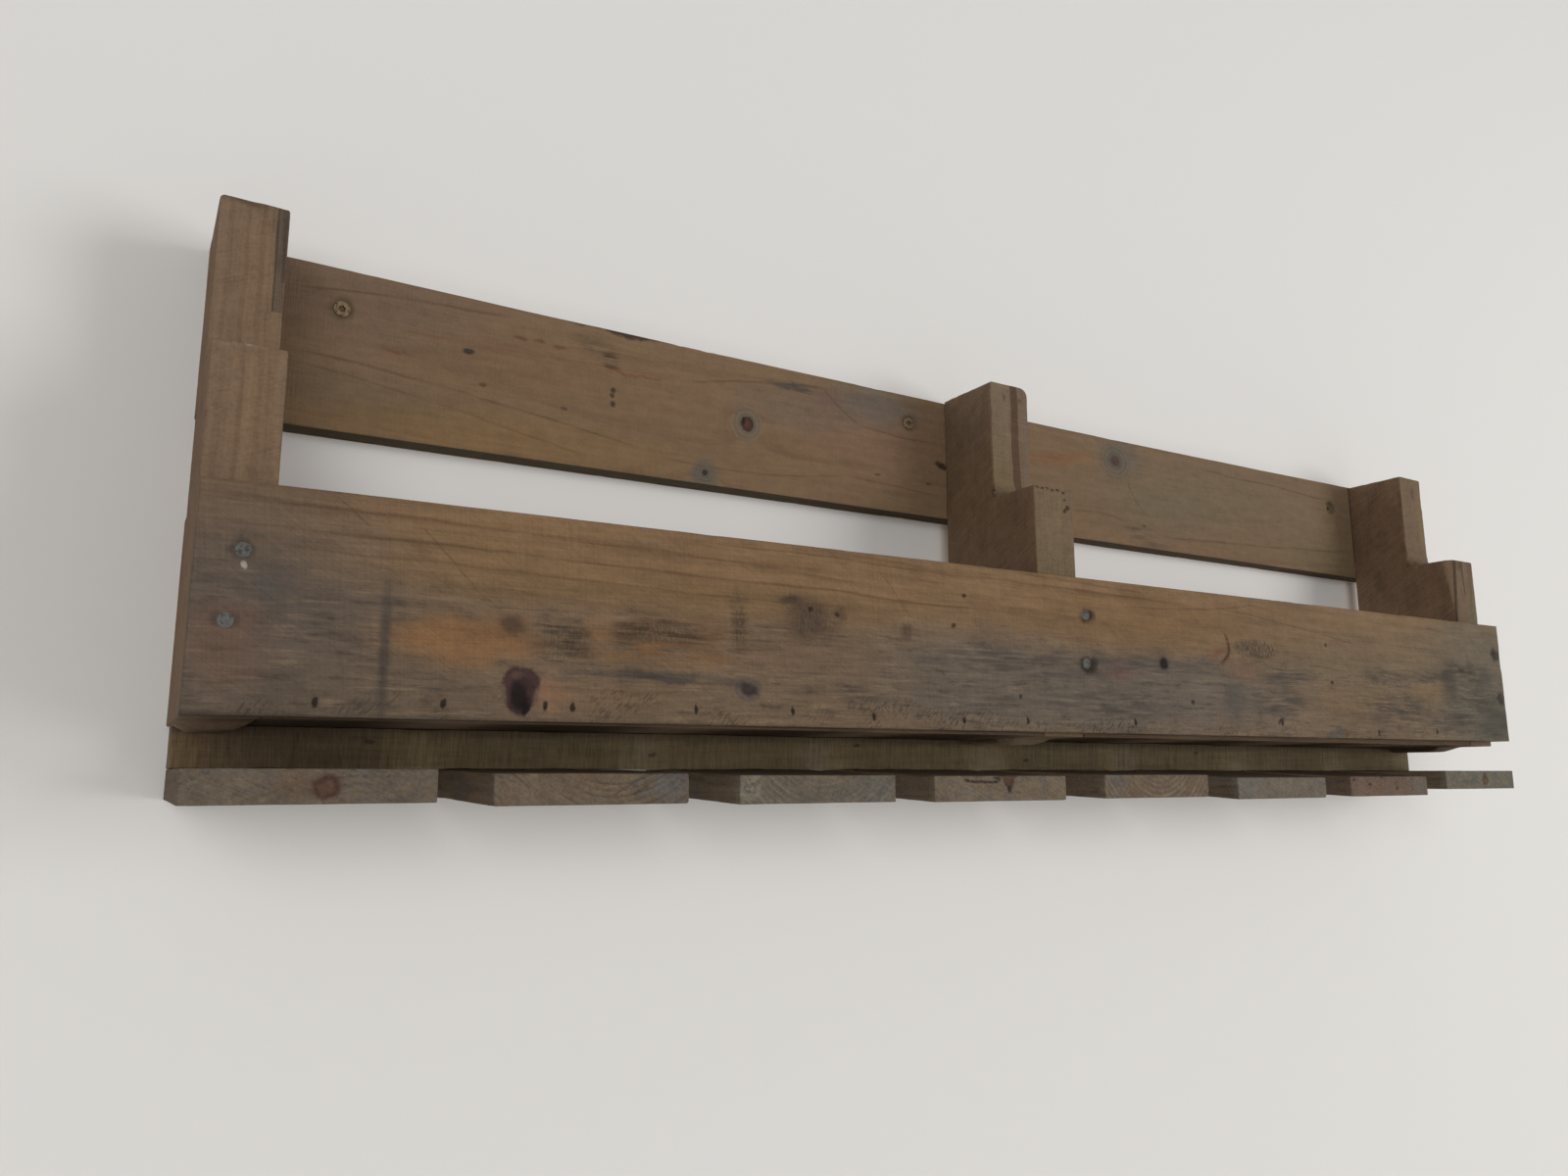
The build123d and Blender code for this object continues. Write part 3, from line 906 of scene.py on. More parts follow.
def make_all_fasteners():
    """Every nail, brad and screw, as long as its CAD pin and with a head no wider."""
    nail = steel_finish("nail_finish", (90, 90, 87), (64, 60, 55), 0.15, 0.65, rusting=(0.2, 0.45))
    brad = steel_finish("brad_finish", (40, 34, 30), (24, 19, 16), 0.2, 0.7)
    screw = steel_finish("screw_finish", (124, 107, 78), (80, 66, 48), 0.45, 0.45)
    tree = fastener_tree()
    for name, node, facing, sizes, finish, slot in (
        ("board_nails", "front_board_nails", "front", NAIL, nail, "nail_steel"),
        ("lower_nails", "lower_back_board_nails", "back", NAIL, nail, "nail_steel"),
        ("upper_nails", "upper_back_board_nails", "back", NAIL, nail, "nail_steel"),
        ("edge_brads", "shelf_brads", "front", BRAD, brad, "nail_steel"),
        ("slat_screws", "finger_screws", "below", SCREW, screw, "screw_steel"),
        ("batten_top_screws", "batten_screws", "below", SCREW, screw, "screw_steel"),
    ):
        low, high = pins_of(node)[0]
        spread = high - low
        scaled = in_metres(sizes)
        scaled[FASTENER_SIZES.index("Head Radius")] = min(scaled[0], spread.min() / 2)
        scaled[FASTENER_SIZES.index("Length")] = spread.max()
        piece = make_fasteners(name, tree, head_sites(node, facing), facing, scaled, finish, len(name))
        dress(piece, node)
    sites = [Vector(place) * MM for place in WALL_SCREWS]
    piece = make_fasteners("wall_screw_heads", tree, sites, "front", in_metres(WALL_SCREW), screw, 4)
    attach(piece, "root")


# Finishes

# Dark brown for dirt, also used for painted shade under the shelf and along the front board's lower edge
DIRT_AND_SHADE = (52, 43, 36)
NEAR_BLACK = (30, 23, 19)
STONE_GREY = (92, 86, 78)


def front_board_finish():
    """The front board: tan and sawn along its top, weathered and scuffed below."""
    wood = Wood("front_board_finish", "x", face=FRONT_FACE, seed=1.0)
    bends = ((-369, -211, 16, 9), (-248, -206, 10, 5), (72, -176, 10, 5), (435, -190, 30, 5))
    wood.grow((-52.0, -212.0), (0.028, -0.012), 6.5, (119, 94, 68), (88, 66, 48), 0.5, 3.0, knots=bends)
    wood.saw_marks(36.0, 46.0, 1.0, 0.3, 2.0)
    wood.saw_marks(86.0, 22.0, 0.9, 0.26, 5.0)
    # Weathering over the lower part, and towards both ends
    lower = wood.ragged.part_along(UP).between(-180.0, -148.0)
    wood.rub((96, 82, 68), lower * -0.62 + 0.62)
    wood.stains(
        (-492, -182, 62, 60, (82, 74, 68), 0.75, 0.7),
        (-400, -216, 130, 14, (88, 76, 64), 0.6, 0.7),
        (470, -178, 70, 70, (92, 87, 76), 0.85, 0.7),
        (330, -170, 170, 40, (102, 90, 72), 0.55, 0.8),
        (-80, -190, 95, 22, STONE_GREY, 0.6, 0.7),
        (-30, -212, 110, 13, STONE_GREY, 0.5, 0.7),
        (60, -196, 80, 22, (88, 84, 78), 0.55, 0.7),
        (150, -200, 90, 20, (94, 86, 78), 0.5, 0.7),
    )
    worn = wood.grain_noise(16.0, 2.6, 4.0, 0.7, 15.0).between(0.5, 0.68, 0.0, 0.64)
    wood.rub((62, 56, 50), worn * (lower * -1.0 + 1.0))
    pale = wood.grain_noise(24.0, 2.6, 4.0, 0.65, 19.0).between(0.52, 0.68, 0.0, 0.46)
    wood.rub((122, 104, 84), pale * (lower * -0.5 + 1.0))
    # Warmer patches between
    wood.stains(
        (-398, -189, 32, 11, (126, 90, 56), 0.62, 0.5),
        (-372, -187, 16, 10, (118, 84, 58), 0.45, 0.6, BROKEN),
        (-296, -184, 42, 11, (126, 90, 56), 0.7, 0.6, BROKEN),
        (-494, -196, 15, 17, (104, 78, 64), 0.5),
        (-330, -213, 42, 9, (110, 88, 66), 0.6, 0.7),
        (-205, -187, 44, 9, (112, 90, 72), 0.55, 0.7),
        (-290, -160, 120, 9, (112, 88, 58), 0.45, 0.8),
        (60, -150, 90, 16, (112, 86, 58), 0.5, 0.8),
        (158, -178, 18, 6, (112, 88, 70), 0.6),
        (275, -197, 60, 14, (112, 90, 66), 0.5, 0.8),
        (392, -184, 26, 7, (116, 92, 64), 0.55, 0.7),
        (30, -183, 14, 6, (96, 62, 60), 0.45, 0.7),
    )
    # Upright smears and rubbed grime
    wood.stains(
        (-431, -196, 2.4, 27, (60, 54, 50), 0.7, 0.7, SMOOTH),
        (-429, -178, 5, 9, (66, 60, 56), 0.5, 0.7, BROKEN),
        (-478, -172, 9, 9, (70, 66, 64), 0.5, 0.7),
        (-352, -184, 12, 9, DIRT_AND_SHADE, 0.7, 0.6, BROKEN),
        (-341, -190, 6, 8, DIRT_AND_SHADE, 0.6, 0.6, BROKEN),
        (-375, -181, 5, 4, DIRT_AND_SHADE, 0.6),
        (-318, -183, 7, 6, DIRT_AND_SHADE, 0.6, 0.6, BROKEN),
        (-300, -178, 22, 5, DIRT_AND_SHADE, 0.75, 0.6, BROKEN),
        (-268, -183, 30, 5, DIRT_AND_SHADE, 0.5, 0.7, BROKEN),
        (-254, -170, 5, 14, DIRT_AND_SHADE, 0.45, 0.7, BROKEN),
        (-324, -203.5, 38, 2.8, (64, 60, 58), 0.75, 0.7, BROKEN, -2.0),
        (-300, -201, 34, 2.2, (62, 58, 54), 0.55, 0.7, SMOOTH),
        (-268, -202, 30, 2.4, (66, 60, 56), 0.5, 0.7, BROKEN),
        (-190, -207, 34, 3.6, (66, 60, 56), 0.55, 0.6, BROKEN),
        (-222, -157, 8, 3.0, DIRT_AND_SHADE, 0.75),
        (-209, -167, 14, 11, (72, 58, 50), 0.65, 0.7),
        (-190, -161, 3.5, 3.5, DIRT_AND_SHADE, 0.5, 0.7),
        (-144, -169, 5, 3.5, (70, 52, 42), 0.65),
        (-96, -184, 44, 5, (70, 64, 60), 0.7, 0.7, BROKEN),
        (-30, -187, 40, 4, (70, 66, 62), 0.6, 0.7, BROKEN),
        (-60, -178, 60, 4, (70, 64, 60), 0.7, 0.7, BROKEN),
        (-90, -206, 50, 6, (74, 68, 62), 0.5, 0.8, BROKEN),
        (20, -206, 44, 12, (68, 63, 57), 0.7, 0.7, BROKEN),
        (45, -179, 46, 5.5, (66, 62, 60), 0.75, 0.7, BROKEN),
        (110, -176, 26, 6, (72, 68, 66), 0.65, 0.7, BROKEN),
    )
    upright = wood.place.seen_from((5.0, 1.0, 2.0), (1.1, 1.0, 4.0)).noise(2.0, 0.6).between(0.4, 0.58)
    near = wood.reach(wood.rippled, (171.0, wood.face, -161.0), (26.0, 9.0, 7.0))
    wood.rub((60, 54, 48), upright * near.between(0.7, 1.15, 0.85, 0.0))
    smears = ((-348, -187, 13, 10), (-300, -180, 26, 7), (-254, -172, 5, 14), (-209, -166, 16, 13))
    for x, z, half_x, half_z in smears:
        near = wood.reach(wood.rippled, (x, wood.face, z), (half_x, 9.0, half_z)).between(0.4, 1.3, 0.42, 0.0)
        wood.rub(DIRT_AND_SHADE, upright * near)
    wood.stains(
        (206, -179, 28, 8, (66, 60, 54), 0.9, 0.6, BROKEN),
        (196, -199, 34, 8, (66, 60, 54), 0.9, 0.6, BROKEN),
        (145, -197, 13, 11, (76, 71, 66), 0.7, 0.45),
        (261, -220, 13, 4, (70, 68, 62), 0.7, 0.5),
        (331, -174, 30, 5, (68, 61, 54), 0.85, 0.6, BROKEN),
        (388, -172, 20, 5, (68, 59, 50), 0.85, 0.6, BROKEN),
        (342, -196, 42, 7, (64, 58, 52), 0.9, 0.6, BROKEN),
        (345, -208, 62, 6, (70, 62, 55), 0.7, 0.7, BROKEN),
        (422, -173, 11, 15, (64, 58, 50), 0.7),
        (434, -166, 24, 9, (64, 57, 50), 0.9, 0.6, BROKEN),
        (460, -166, 12, 8, (58, 51, 44), 0.85, 0.6, BROKEN),
        (480, -215, 16, 6, (62, 56, 48), 0.6, 0.6, BROKEN),
        (456, -188, 34, 12, (66, 62, 54), 0.85, 0.7, BROKEN),
        (439, -205, 18, 10, (62, 56, 52), 0.8, 0.7, BROKEN),
        (478, -168, 14, 9, (64, 61, 54), 0.75, 0.7),
        (490, -205, 28, 16, (66, 63, 55), 0.75, 0.7),
        (416, -208, 22, 8, (68, 62, 54), 0.75, 0.7, BROKEN),
    )
    # Torn fibres along the lower edge
    torn = wood.place.seen_from((3.0, 0.0, 7.0), (1.2, 1.2, 5.0), 38.0).noise(1.0, 0.5).between(0.5, 0.64)
    band = wood.ragged.part_along(UP).between(-221.0, -207.0, 0.5, 0.0)
    gaps = wood.place.seen_from((40.0, 0.0, 3.0), (24.0, 24.0, 12.0)).noise(1.0, 0.5).between(0.46, 0.6)
    wood.rub(DIRT_AND_SHADE, torn * band * gaps)
    for x, z, half in ((-318, -214, 20), (-160, -212, 30), (-100, -216, 30), (-60, -222, 30), (20, -220, 40)):
        near = wood.reach(wood.ragged, (x, wood.face, z), (half, 9.0, 5.0)).between(0.6, 1.3, 0.5, 0.0)
        wood.rub(DIRT_AND_SHADE, torn * near)
    # Long grain lines of the sawn top
    wood.line((-505, -134), (-180, -140), 0.0, 1.0, (84, 60, 40), 0.5)
    scratches = (((-418, -139), (-391, -167)), ((-160, -137), (-139, -160)), ((-455, -129), (-440, -141)))
    for start, end in scratches:
        wood.line(start, end, 0.0, 0.55, (78, 60, 44), 0.45)
    wood.lines(
        ((-505, -145), (-60, -152), 0.0, 0.9, (82, 60, 42), 0.55),
        ((-505, -152), (-150, -159), 1.5, 0.8, (82, 60, 42), 0.4),
        ((-300, -130), (120, -134), 0.0, 0.7, (84, 62, 42), 0.5),
        ((-60, -126), (60, -130), 0.0, 0.9, (84, 60, 42), 0.5),
        ((40, -140), (180, -128), 2.0, 0.8, (90, 62, 42), 0.5),
        ((120, -132), (300, -150), 0.0, 0.8, (88, 64, 44), 0.45),
    )
    # Knots
    wood.stain(-355, -212, 8, 9, (122, 92, 72), 0.75)
    husk = (60, 43, 40)
    wood.knot(-369.4, -210.0, 8.0, husk, husk, (84, 68, 58), 1.45, 0.9)
    wood.stains(
        (-369.2, -206.4, 8.9, 6.2, husk, 0.95, 0.14, SMOOTH),
        (-369.6, -214.6, 6.2, 8.2, husk, 0.95, 0.14, SMOOTH),
        (-369.6, -214.0, 4.4, 7.4, (22, 17, 16), 0.93, 0.35, SMOOTH, -5.0),
        (-366.6, -220.2, 1.6, 2.8, (14, 11, 10), 0.9, 0.4, SMOOTH, 14.0),
        (-371.0, -204.5, 2.4, 1.8, (84, 64, 56), 0.5, 0.5, SMOOTH),
    )
    wood.knot(-248, -206, 4.6, (64, 52, 50), (76, 66, 62), (82, 74, 68), 1.9, 1.3)
    wood.stains(
        (-247, -206, 3.6, 2.6, (46, 38, 36), 0.8),
        (-251, -203.5, 3.0, 1.2, (54, 46, 42), 0.7),
    )
    wood.knot(72.3, -176.3, 4.2, NEAR_BLACK, (46, 40, 36), (70, 66, 62), 2.4)
    # The curved crack and its smear
    wood.stain(126, -166.5, 8, 2.2, (106, 72, 50), 0.75, 0.5, WHOLE, -12.0)
    wood.lines(
        ((137.0, -150), (128.5, -174.5), -8.0, 2.3, (88, 57, 40), 0.95),
        ((138.5, -153), (131.0, -171.5), -6.6, 0.8, (52, 34, 26), 0.85),
    )
    # Crescents where the brads were driven
    for low, high in pins_of("shelf_brads"):
        x = (low[0] + high[0]) / 2 / MM
        z = (low[2] + high[2]) / 2 / MM
        wood.stain(x - 0.4, z + 0.4, 1.3, 2.3, NEAR_BLACK, 0.9, 0.35, SMOOTH, deep=4.0)
    # Small marks
    pits = ((-209.5, -160.7), (-192, -162.7), (-109, -163), (-100.5, -144), (259.5, -181))
    wood.spots(pits, 1.7, 1.3, NEAR_BLACK, 0.8)
    holes = ((99.3, -201.2), (396.8, -216), (255, -153), (-58, -203))
    wood.spots(holes, 1.7, 1.5, NEAR_BLACK, 0.75)
    wood.stains(
        (195, -212, 4.4, 1.8, NEAR_BLACK, 0.8, 0.5, WHOLE, -22.0),
        (442.8, -161.8, 4.5, 2.2, (58, 44, 34), 0.7),
        (273, -220.5, 2.6, 2.4, (84, 58, 30), 0.8, 0.5),
        (-489, -163.5, 1.1, 1.5, (170, 160, 148), 0.7, 0.4, SMOOTH),
    )
    # Dark spots round the middle and right nails: painted shadow of their heads over rust and grime; then
    # grime round the left nails
    for x, z in ((2.5, -149), (1.5, -181), (500.5, -148), (502.0, -185)):
        wood.stain(x, z, 6.4, 4.6, (36, 30, 26), 0.9, 0.5)
    for x, z in ((-489.75, -157), (-494.25, -187)):
        wood.stain(x - 0.6, z, 5.0, 4.2, (52, 46, 42), 0.55, 0.4)
    # Painted shade along the lower edge
    edge = wood.rippled.part_along(UP).between(-226.0, -222.5, 0.5, 0.0)
    wood.rub(DIRT_AND_SHADE, edge)
    return wood.finish()


def upper_board_finish():
    """The upper back board: flat-sawn, with two knots beside the middle and one beyond it."""
    wood = Wood("upper_board_finish", "x", face=BACK_BOARD_FACE, seed=2.0)
    bends = ((-191, -23, 14, 7), (-222, -61, 11, 6), (152, 3, 18, 9))
    wood.grow((44.0, -14.0), (0.004, 0.006), 6.0, (118, 96, 73), (94, 72, 53), 0.42, 3.4, 11.0, bends, 0.3)
    wood.saw_marks(0.0, 26.0, 1.0, 0.12, 3.0, axis=2)
    height = wood.ragged.part_along(UP)
    # Broad changes of colour
    wood.stains(
        (-440, 6, 70, 26, (104, 86, 74), 0.6, 0.8),
        (-360, -58, 110, 12, (124, 98, 64), 0.6, 0.8),
        (-330, -12, 90, 16, (116, 92, 70), 0.5, 0.8),
        (-90, -14, 60, 22, (120, 92, 74), 0.55, 0.8),
        (-88, 8, 34, 14, (98, 90, 82), 0.75, 0.7),
        (-128, 5, 9, 6, (100, 72, 70), 0.5, 0.8),
        (-150, -6, 40, 14, (104, 90, 80), 0.5, 0.8),
        (-440, -48, 50, 12, (88, 78, 66), 0.4, 0.9),
        (70, -10, 60, 26, (118, 94, 72), 0.5, 0.8),
        (300, -10, 190, 34, (108, 95, 76), 0.6, 0.9),
        (210, -30, 60, 20, (106, 96, 78), 0.5, 0.9),
        (430, -52, 60, 14, (104, 94, 70), 0.5, 0.9),
    )
    # Long grain lines
    ink = (84, 64, 48)
    wood.lines(
        ((-468, 8), (-348, 15.5), -1.0, 0.9, ink, 0.55),
        ((-468, -27), (-258, -53), -3.0, 0.9, ink, 0.55),
        ((-470, -33), (-300, -62), -2.0, 0.8, ink, 0.35),
        ((-420, -6), (-244, -2), 0.0, 0.8, (112, 70, 50), 0.4),
        ((-237, -2), (-130, 12.5), -1.5, 0.9, ink, 0.55),
        ((-132, 12.5), (-102, -9), 1.5, 1.0, ink, 0.5),
        ((-104, -9), (-31, -11), 1.0, 0.9, ink, 0.5),
        ((-254, -56), (-112, -47), 3.0, 0.8, ink, 0.45),
        ((-114, -47), (-33, -51), -1.0, 0.9, (104, 66, 46), 0.5),
        ((30, -10), (104, -1), 0.0, 0.8, (112, 76, 52), 0.45),
        ((254, 12), (440, 7.5), 0.0, 1.0, ink, 0.5),
        ((200, -55), (474, -40), 1.0, 1.1, ink, 0.45),
        ((100, -46), (165, -48), -5.0, 1.0, (96, 70, 58), 0.45),
        ((165, -10), (196, -42), 6.0, 1.2, ink, 0.35),
    )
    # Knots
    wood.knot(-191.5, -22.8, 5.2, (80, 55, 44), (46, 38, 35), (98, 92, 82), 3.0, 0.95)
    wood.stains(
        (-194, -21.5, 1.2, 2.4, NEAR_BLACK, 0.8, 0.5, SMOOTH),
        (-223, -61.5, 8.5, 7.5, (84, 80, 72), 0.5, 0.4),
    )
    wood.knot(-222, -60.8, 2.7, (46, 40, 36), (86, 78, 70), (90, 85, 77), 5.6, 1.0)
    wood.stains(
        (160, 8, 24, 14, (92, 86, 77), 0.6, 0.7),
        (92, -4, 34, 5, (124, 86, 58), 0.55, 0.7, WHOLE, -8.0),
    )
    wood.knot(152.5, 3, 5.6, (80, 63, 56), (86, 72, 64), (88, 83, 74), 3.3, 1.15)
    wood.stain(153.5, 3.5, 2.6, 2.2, (62, 48, 42), 0.7)
    # Small marks
    wood.stains(
        (-374.3, -9.8, 3.2, 1.7, (44, 40, 40), 0.85, 0.4, SMOOTH),
        (-413, -18.7, 6, 1.4, (110, 62, 50), 0.5, 0.7),
    )
    wood.spots(((-344, 4), (-333, 4.5), (-320, 3)), 4.0, 1.2, (92, 50, 40), 0.6)
    specks = ((-365, -28.5), (-316, -34.5), (-87, -42), (-41.5, -43), (183, -48))
    wood.spots(specks, 2.4, 1.1, (64, 44, 34), 0.6)
    wood.spots(((-285.3, -17.5), (-285.3, -26.2), (-286, -21)), 1.7, 1.7, (40, 36, 30), 0.75)
    wood.stains(
        (-287, 1, 5, 7, (48, 42, 36), 0.75, 0.6, BROKEN),
        (-300, 10, 12, 5, (66, 58, 48), 0.4, 0.7, BROKEN),
        (-270, -5, 20, 1.4, (98, 54, 40), 0.4, 0.7),
        (-154, 9, 17, 3.4, (56, 58, 58), 0.7, 0.6, BROKEN),
        (-29, -28, 5, 2.8, NEAR_BLACK, 0.85, 0.5),
        (178, -52, 16, 6, (74, 68, 64), 0.5, 0.7, BROKEN),
        (192, -62, 20, 4, (70, 66, 60), 0.5, 0.7, BROKEN),
    )
    # Painted shade in the countersinks round the wall screws, darker in the deepest one
    wood.spots(((-443, 0), (-58, 0), (444, 0.5)), 6.2, 6.0, (74, 60, 46), 0.8)
    wood.stain(444, 0.5, 3.4, 3.6, (58, 42, 30), 0.8, 0.5)
    # Grime along the sawn edges, and painted shade on the board's underside
    wood.rub(DIRT_AND_SHADE, height.between(18.5, 25.5, 0.0, 0.42) * wood.streaks.between(0.4, 0.62))
    wood.stain(-281, 21.5, 28, 2.0, NEAR_BLACK, 0.75, deep=15.0)
    wood.rub((62, 56, 44), height.between(-72.0, -65.5, 0.55, 0.0) * wood.streaks.between(0.42, 0.62))
    # Painted shade: the downward face darkened evenly
    underside_shade = wood.place.part_along((-0.00443, 0.0, 1.0)).between(-67.1, -66.4, 0.85, 0.0)
    wood.rub((72, 65, 47), underside_shade)
    return wood.finish()


def lower_board_finish():
    """The lower back board, mostly hidden behind the front board."""
    wood = Wood("lower_back_board_finish", "x", face=BACK_BOARD_FACE, seed=3.0)
    wood.grow((50.0, -190.0), (-0.02, 0.01), 6.0, (116, 92, 66), (92, 68, 48), 0.5, 4.0)
    wood.saw_marks(0.0, 26.0, 1.2, 0.14, 3.0, axis=2)
    wood.stains(
        (-210, -160, 160, 30, (96, 84, 70), 0.6, 0.8),
        (290, -185, 120, 25, (98, 82, 66), 0.6, 0.8),
    )
    wood.knot(-130, -170, 6.0, (70, 46, 36), (48, 38, 32), (92, 80, 68), 2.2, 1.2)
    wood.knot(268, -150, 5.0, (90, 58, 44), (56, 44, 38), (98, 86, 74), 2.2, 1.1)
    return wood.finish()


def shelf_finish(name, seed, pith):
    """A shelf board: brown and dusty."""
    wood = Wood(name, "x", face=-211.0, seed=seed)
    wood.grow(pith, (0.02, 0.015), 6.0, (96, 76, 57), (72, 54, 40), 0.5, 4.0)
    wood.saw_marks(0.0, 24.0, 1.2, 0.3, 3.0, axis=1)
    wood.rub((84, 72, 60), wood.grain_noise(70.0, 26.0, 2.0, 0.5, 21.0).between(0.45, 0.65, 0.0, 0.6))
    wood.rub(DIRT_AND_SHADE, wood.streaks.between(0.62, 0.75, 0.0, 0.4))
    return wood.finish()


def batten_finish():
    """The batten: olive brown, with the upright marks of the saw."""
    wood = Wood("batten_finish", "x", face=-30.0, seed=6.0)
    wood.grow((-80.0, -300.0), (0.03, 0.02), 5.0, (105, 91, 67), (86, 74, 53), 0.35, 4.0)
    wood.saw_marks(5.0, 50.0, 2.2, 0.8, 3.0, axis=2)
    wood.saw_marks(-4.0, 12.0, 0.9, 0.9, 8.0, axis=2)
    wood.stains(
        (-500, -236, 12, 14, (96, 76, 54), 0.6),
        (-450, -236, 40, 14, (72, 56, 42), 0.6),
    )
    # Painted light: pale patches where light comes through between the fingers on to the batten
    for x in (-271, -150, -7, 129, 259, 390):
        wood.stain(x, -238, 11, 9, (104, 95, 80), 0.5, 0.6)
    wood.stains(
        (-330, -238, 60, 9, (92, 80, 58), 0.4, 0.8),
        (60, -238, 60, 10, (98, 88, 66), 0.5, 0.8),
        (330, -238, 60, 10, (104, 92, 70), 0.5, 0.8),
    )
    pits = ((-418, -233), (-262, -238), (-118, -231), (28, -240), (210, -233))
    wood.spots(pits, 2.6, 1.2, NEAR_BLACK, 0.6)
    # Painted shade along the top of the batten, under the shelf
    wood.rub(DIRT_AND_SHADE, wood.rippled.part_along(UP).between(-233.0, -226.5, 0.0, 0.55))
    return wood.finish()


def finger_wood(number, pith, early, late, ring=3.0, contrast=0.75):
    """A finger: weathered end grain at its front, browner sawn wood behind."""
    wood = Wood(f"finger_{number}_finish", "y", face=FRONT_FACE, seed=10.0 + number)
    wood.grow(pith, (0.02, -0.01), ring, early, late, contrast, 1.2, fibre=0.5, speck=0.8)
    wood.saw_marks(24.0, 12.0, 0.8, 0.6, number)
    depth = wood.ragged.part_along(INWARD).between(-117.5, -112.0)
    wood.rub((92, 75, 58), depth * 0.65)
    wood.rub((66, 56, 46), depth * wood.streaks.between(0.5, 0.7, 0.0, 0.5))
    blotches = wood.place.seen_from((0.0, 9.0, 4.0), (9.0, 30.0, 5.0)).noise(2.0, 0.6)
    wood.rub((80, 78, 76), blotches.between(0.5, 0.68, 0.0, 0.5))
    return wood


def finger_finishes():
    """Eight fingers cut from different boards, each with its own end grain."""
    one = finger_wood(1, (-430.0, -380.0), (95, 84, 71), (78, 67, 56), 3.4, 0.6)
    one.stains(
        (-464, -254, 8, 6, (90, 70, 56), 0.6, 0.7),
        (-451, -254.8, 8.0, 6.5, (84, 68, 58), 0.6, 0.5),
        (-451, -254.8, 5.6, 5.2, (64, 43, 35), 0.9, 0.22, SMOOTH),
        (-451, -254.8, 3.4, 3.0, (86, 66, 53), 0.8, 0.4, SMOOTH),
        (-451.5, -255.5, 1.6, 1.2, (80, 58, 46), 0.7, 0.5, SMOOTH),
    )
    two = finger_wood(2, (-318.0, -214.0), (100, 86, 70), (66, 60, 54), 3.0, 0.95)
    two.stains(
        (-291, -254, 9, 9, (82, 81, 80), 0.6, 0.7),
        (-340, -250, 22, 6, (98, 82, 66), 0.6, 0.8),
        (-362, -256, 14, 6, (104, 92, 78), 0.5, 0.8),
    )
    cracks = (((-322, -260), (-300, -247)), ((-312, -260), (-292, -248)), ((-372, -248), (-362, -256)))
    for start, end in cracks:
        two.line(start, end, 0.0, 0.6, DIRT_AND_SHADE, 0.5)
    three = finger_wood(3, (-199.0, -222.0), (92, 84, 73), (118, 106, 90), 3.2, 0.8)
    three.stains(
        (-246, -256, 7, 7, (140, 130, 112), 0.5, 0.6, BROKEN),
        (-200, -250, 26, 5, (98, 84, 70), 0.6, 0.8),
        (-170, -256, 14, 7, (86, 84, 79), 0.5, 0.8),
    )
    four = finger_wood(4, (-60.0, -205.0), (104, 91, 75), (86, 73, 63), 3.2, 0.6)
    four.stains(
        (-70, -248.5, 8.0, 4.4, (66, 48, 38), 0.9, 0.25, SMOOTH),
        (-70, -253.5, 4.6, 4.6, (66, 48, 38), 0.9, 0.25, SMOOTH),
        (-70, -249.5, 4.6, 3.4, (84, 61, 46), 0.8, 0.4, SMOOTH),
        (-70, -258.5, 1.6, 2.2, NEAR_BLACK, 0.85, 0.4, SMOOTH),
    )
    four.line((-106, -253.0), (-76, -254.2), 0.8, 1.0, NEAR_BLACK, 0.95)
    four.stain(-79, -253.5, 3.0, 1.2, NEAR_BLACK, 0.7, 0.5)
    five = finger_wood(5, (64.0, -228.0), (96, 81, 65), (124, 112, 96), 3.4, 0.9)
    five.stain(20, -252, 9, 8, (84, 82, 78), 0.6, 0.8)
    six = finger_wood(6, (204.0, -228.0), (102, 92, 80), (86, 78, 68), 2.8, 0.6)
    six.stain(152, -256, 14, 8, (92, 90, 86), 0.6, 0.8)
    seven = finger_wood(7, (318.0, -330.0), (99, 81, 68), (82, 65, 54), 3.0, 0.7)
    seven.stains(
        (306, -256, 34, 9, (92, 70, 57), 0.6, 0.7, BROKEN),
        (364, -256, 12, 9, (92, 85, 76), 0.7, 0.7),
    )
    seven.spots(((312, -252), (331.5, -261), (296, -257), (276, -254)), 1.8, 1.3, (44, 34, 30), 0.75)
    eight = finger_wood(8, (440.0, -330.0), (98, 92, 79), (84, 78, 66), 3.4, 0.6)
    eight.stains(
        (462, -255.0, 5.0, 3.8, (72, 54, 42), 0.85, 0.3, SMOOTH),
        (462, -251.5, 2.4, 3.4, (72, 54, 42), 0.85, 0.3, SMOOTH),
        (462, -254.8, 2.4, 1.8, (92, 72, 58), 0.7, 0.5, SMOOTH),
    )
    return [wood.finish() for wood in (one, two, three, four, five, six, seven, eight)]


def stringer_wood(name, pith, seed, early, late, ring, contrast, sides):
    """A pallet stringer stood on end: pale worn front faces, and brown sides with slanting saw marks."""
    wood = Wood(name, "z", STRINGER_FACE, seed)
    wood.grow(pith, (0.015, 0.02), ring, early, late, contrast, 2.6, fibre=0.3, speck=0.5)
    slanting = wood.place.seen_from(NOWHERE, (4.0, 18.0, 1.0), -30.0, axis=0).noise(3.0, 0.65) - 0.5
    across = wood.place.part_along(RIGHT)
    low, high = sides
    side = across.between(low + 0.4, low + 0.8, 1.0, 0.0) + across.between(high - 0.8, high - 0.4, 0.0, 1.0)
    wood.light = wood.light + slanting * (side * 0.6 + 0.25)
    wood.height = wood.height + slanting * side
    wood.rub((114, 90, 69), side * 0.8)
    grime = wood.place.seen_from((5.0, 5.0, 5.0), (30.0, 16.0, 24.0)).noise(3.0, 0.6)
    wood.rub((80, 65, 52), grime.between(0.4, 0.7, 0.0, 0.42) * side)
    return wood


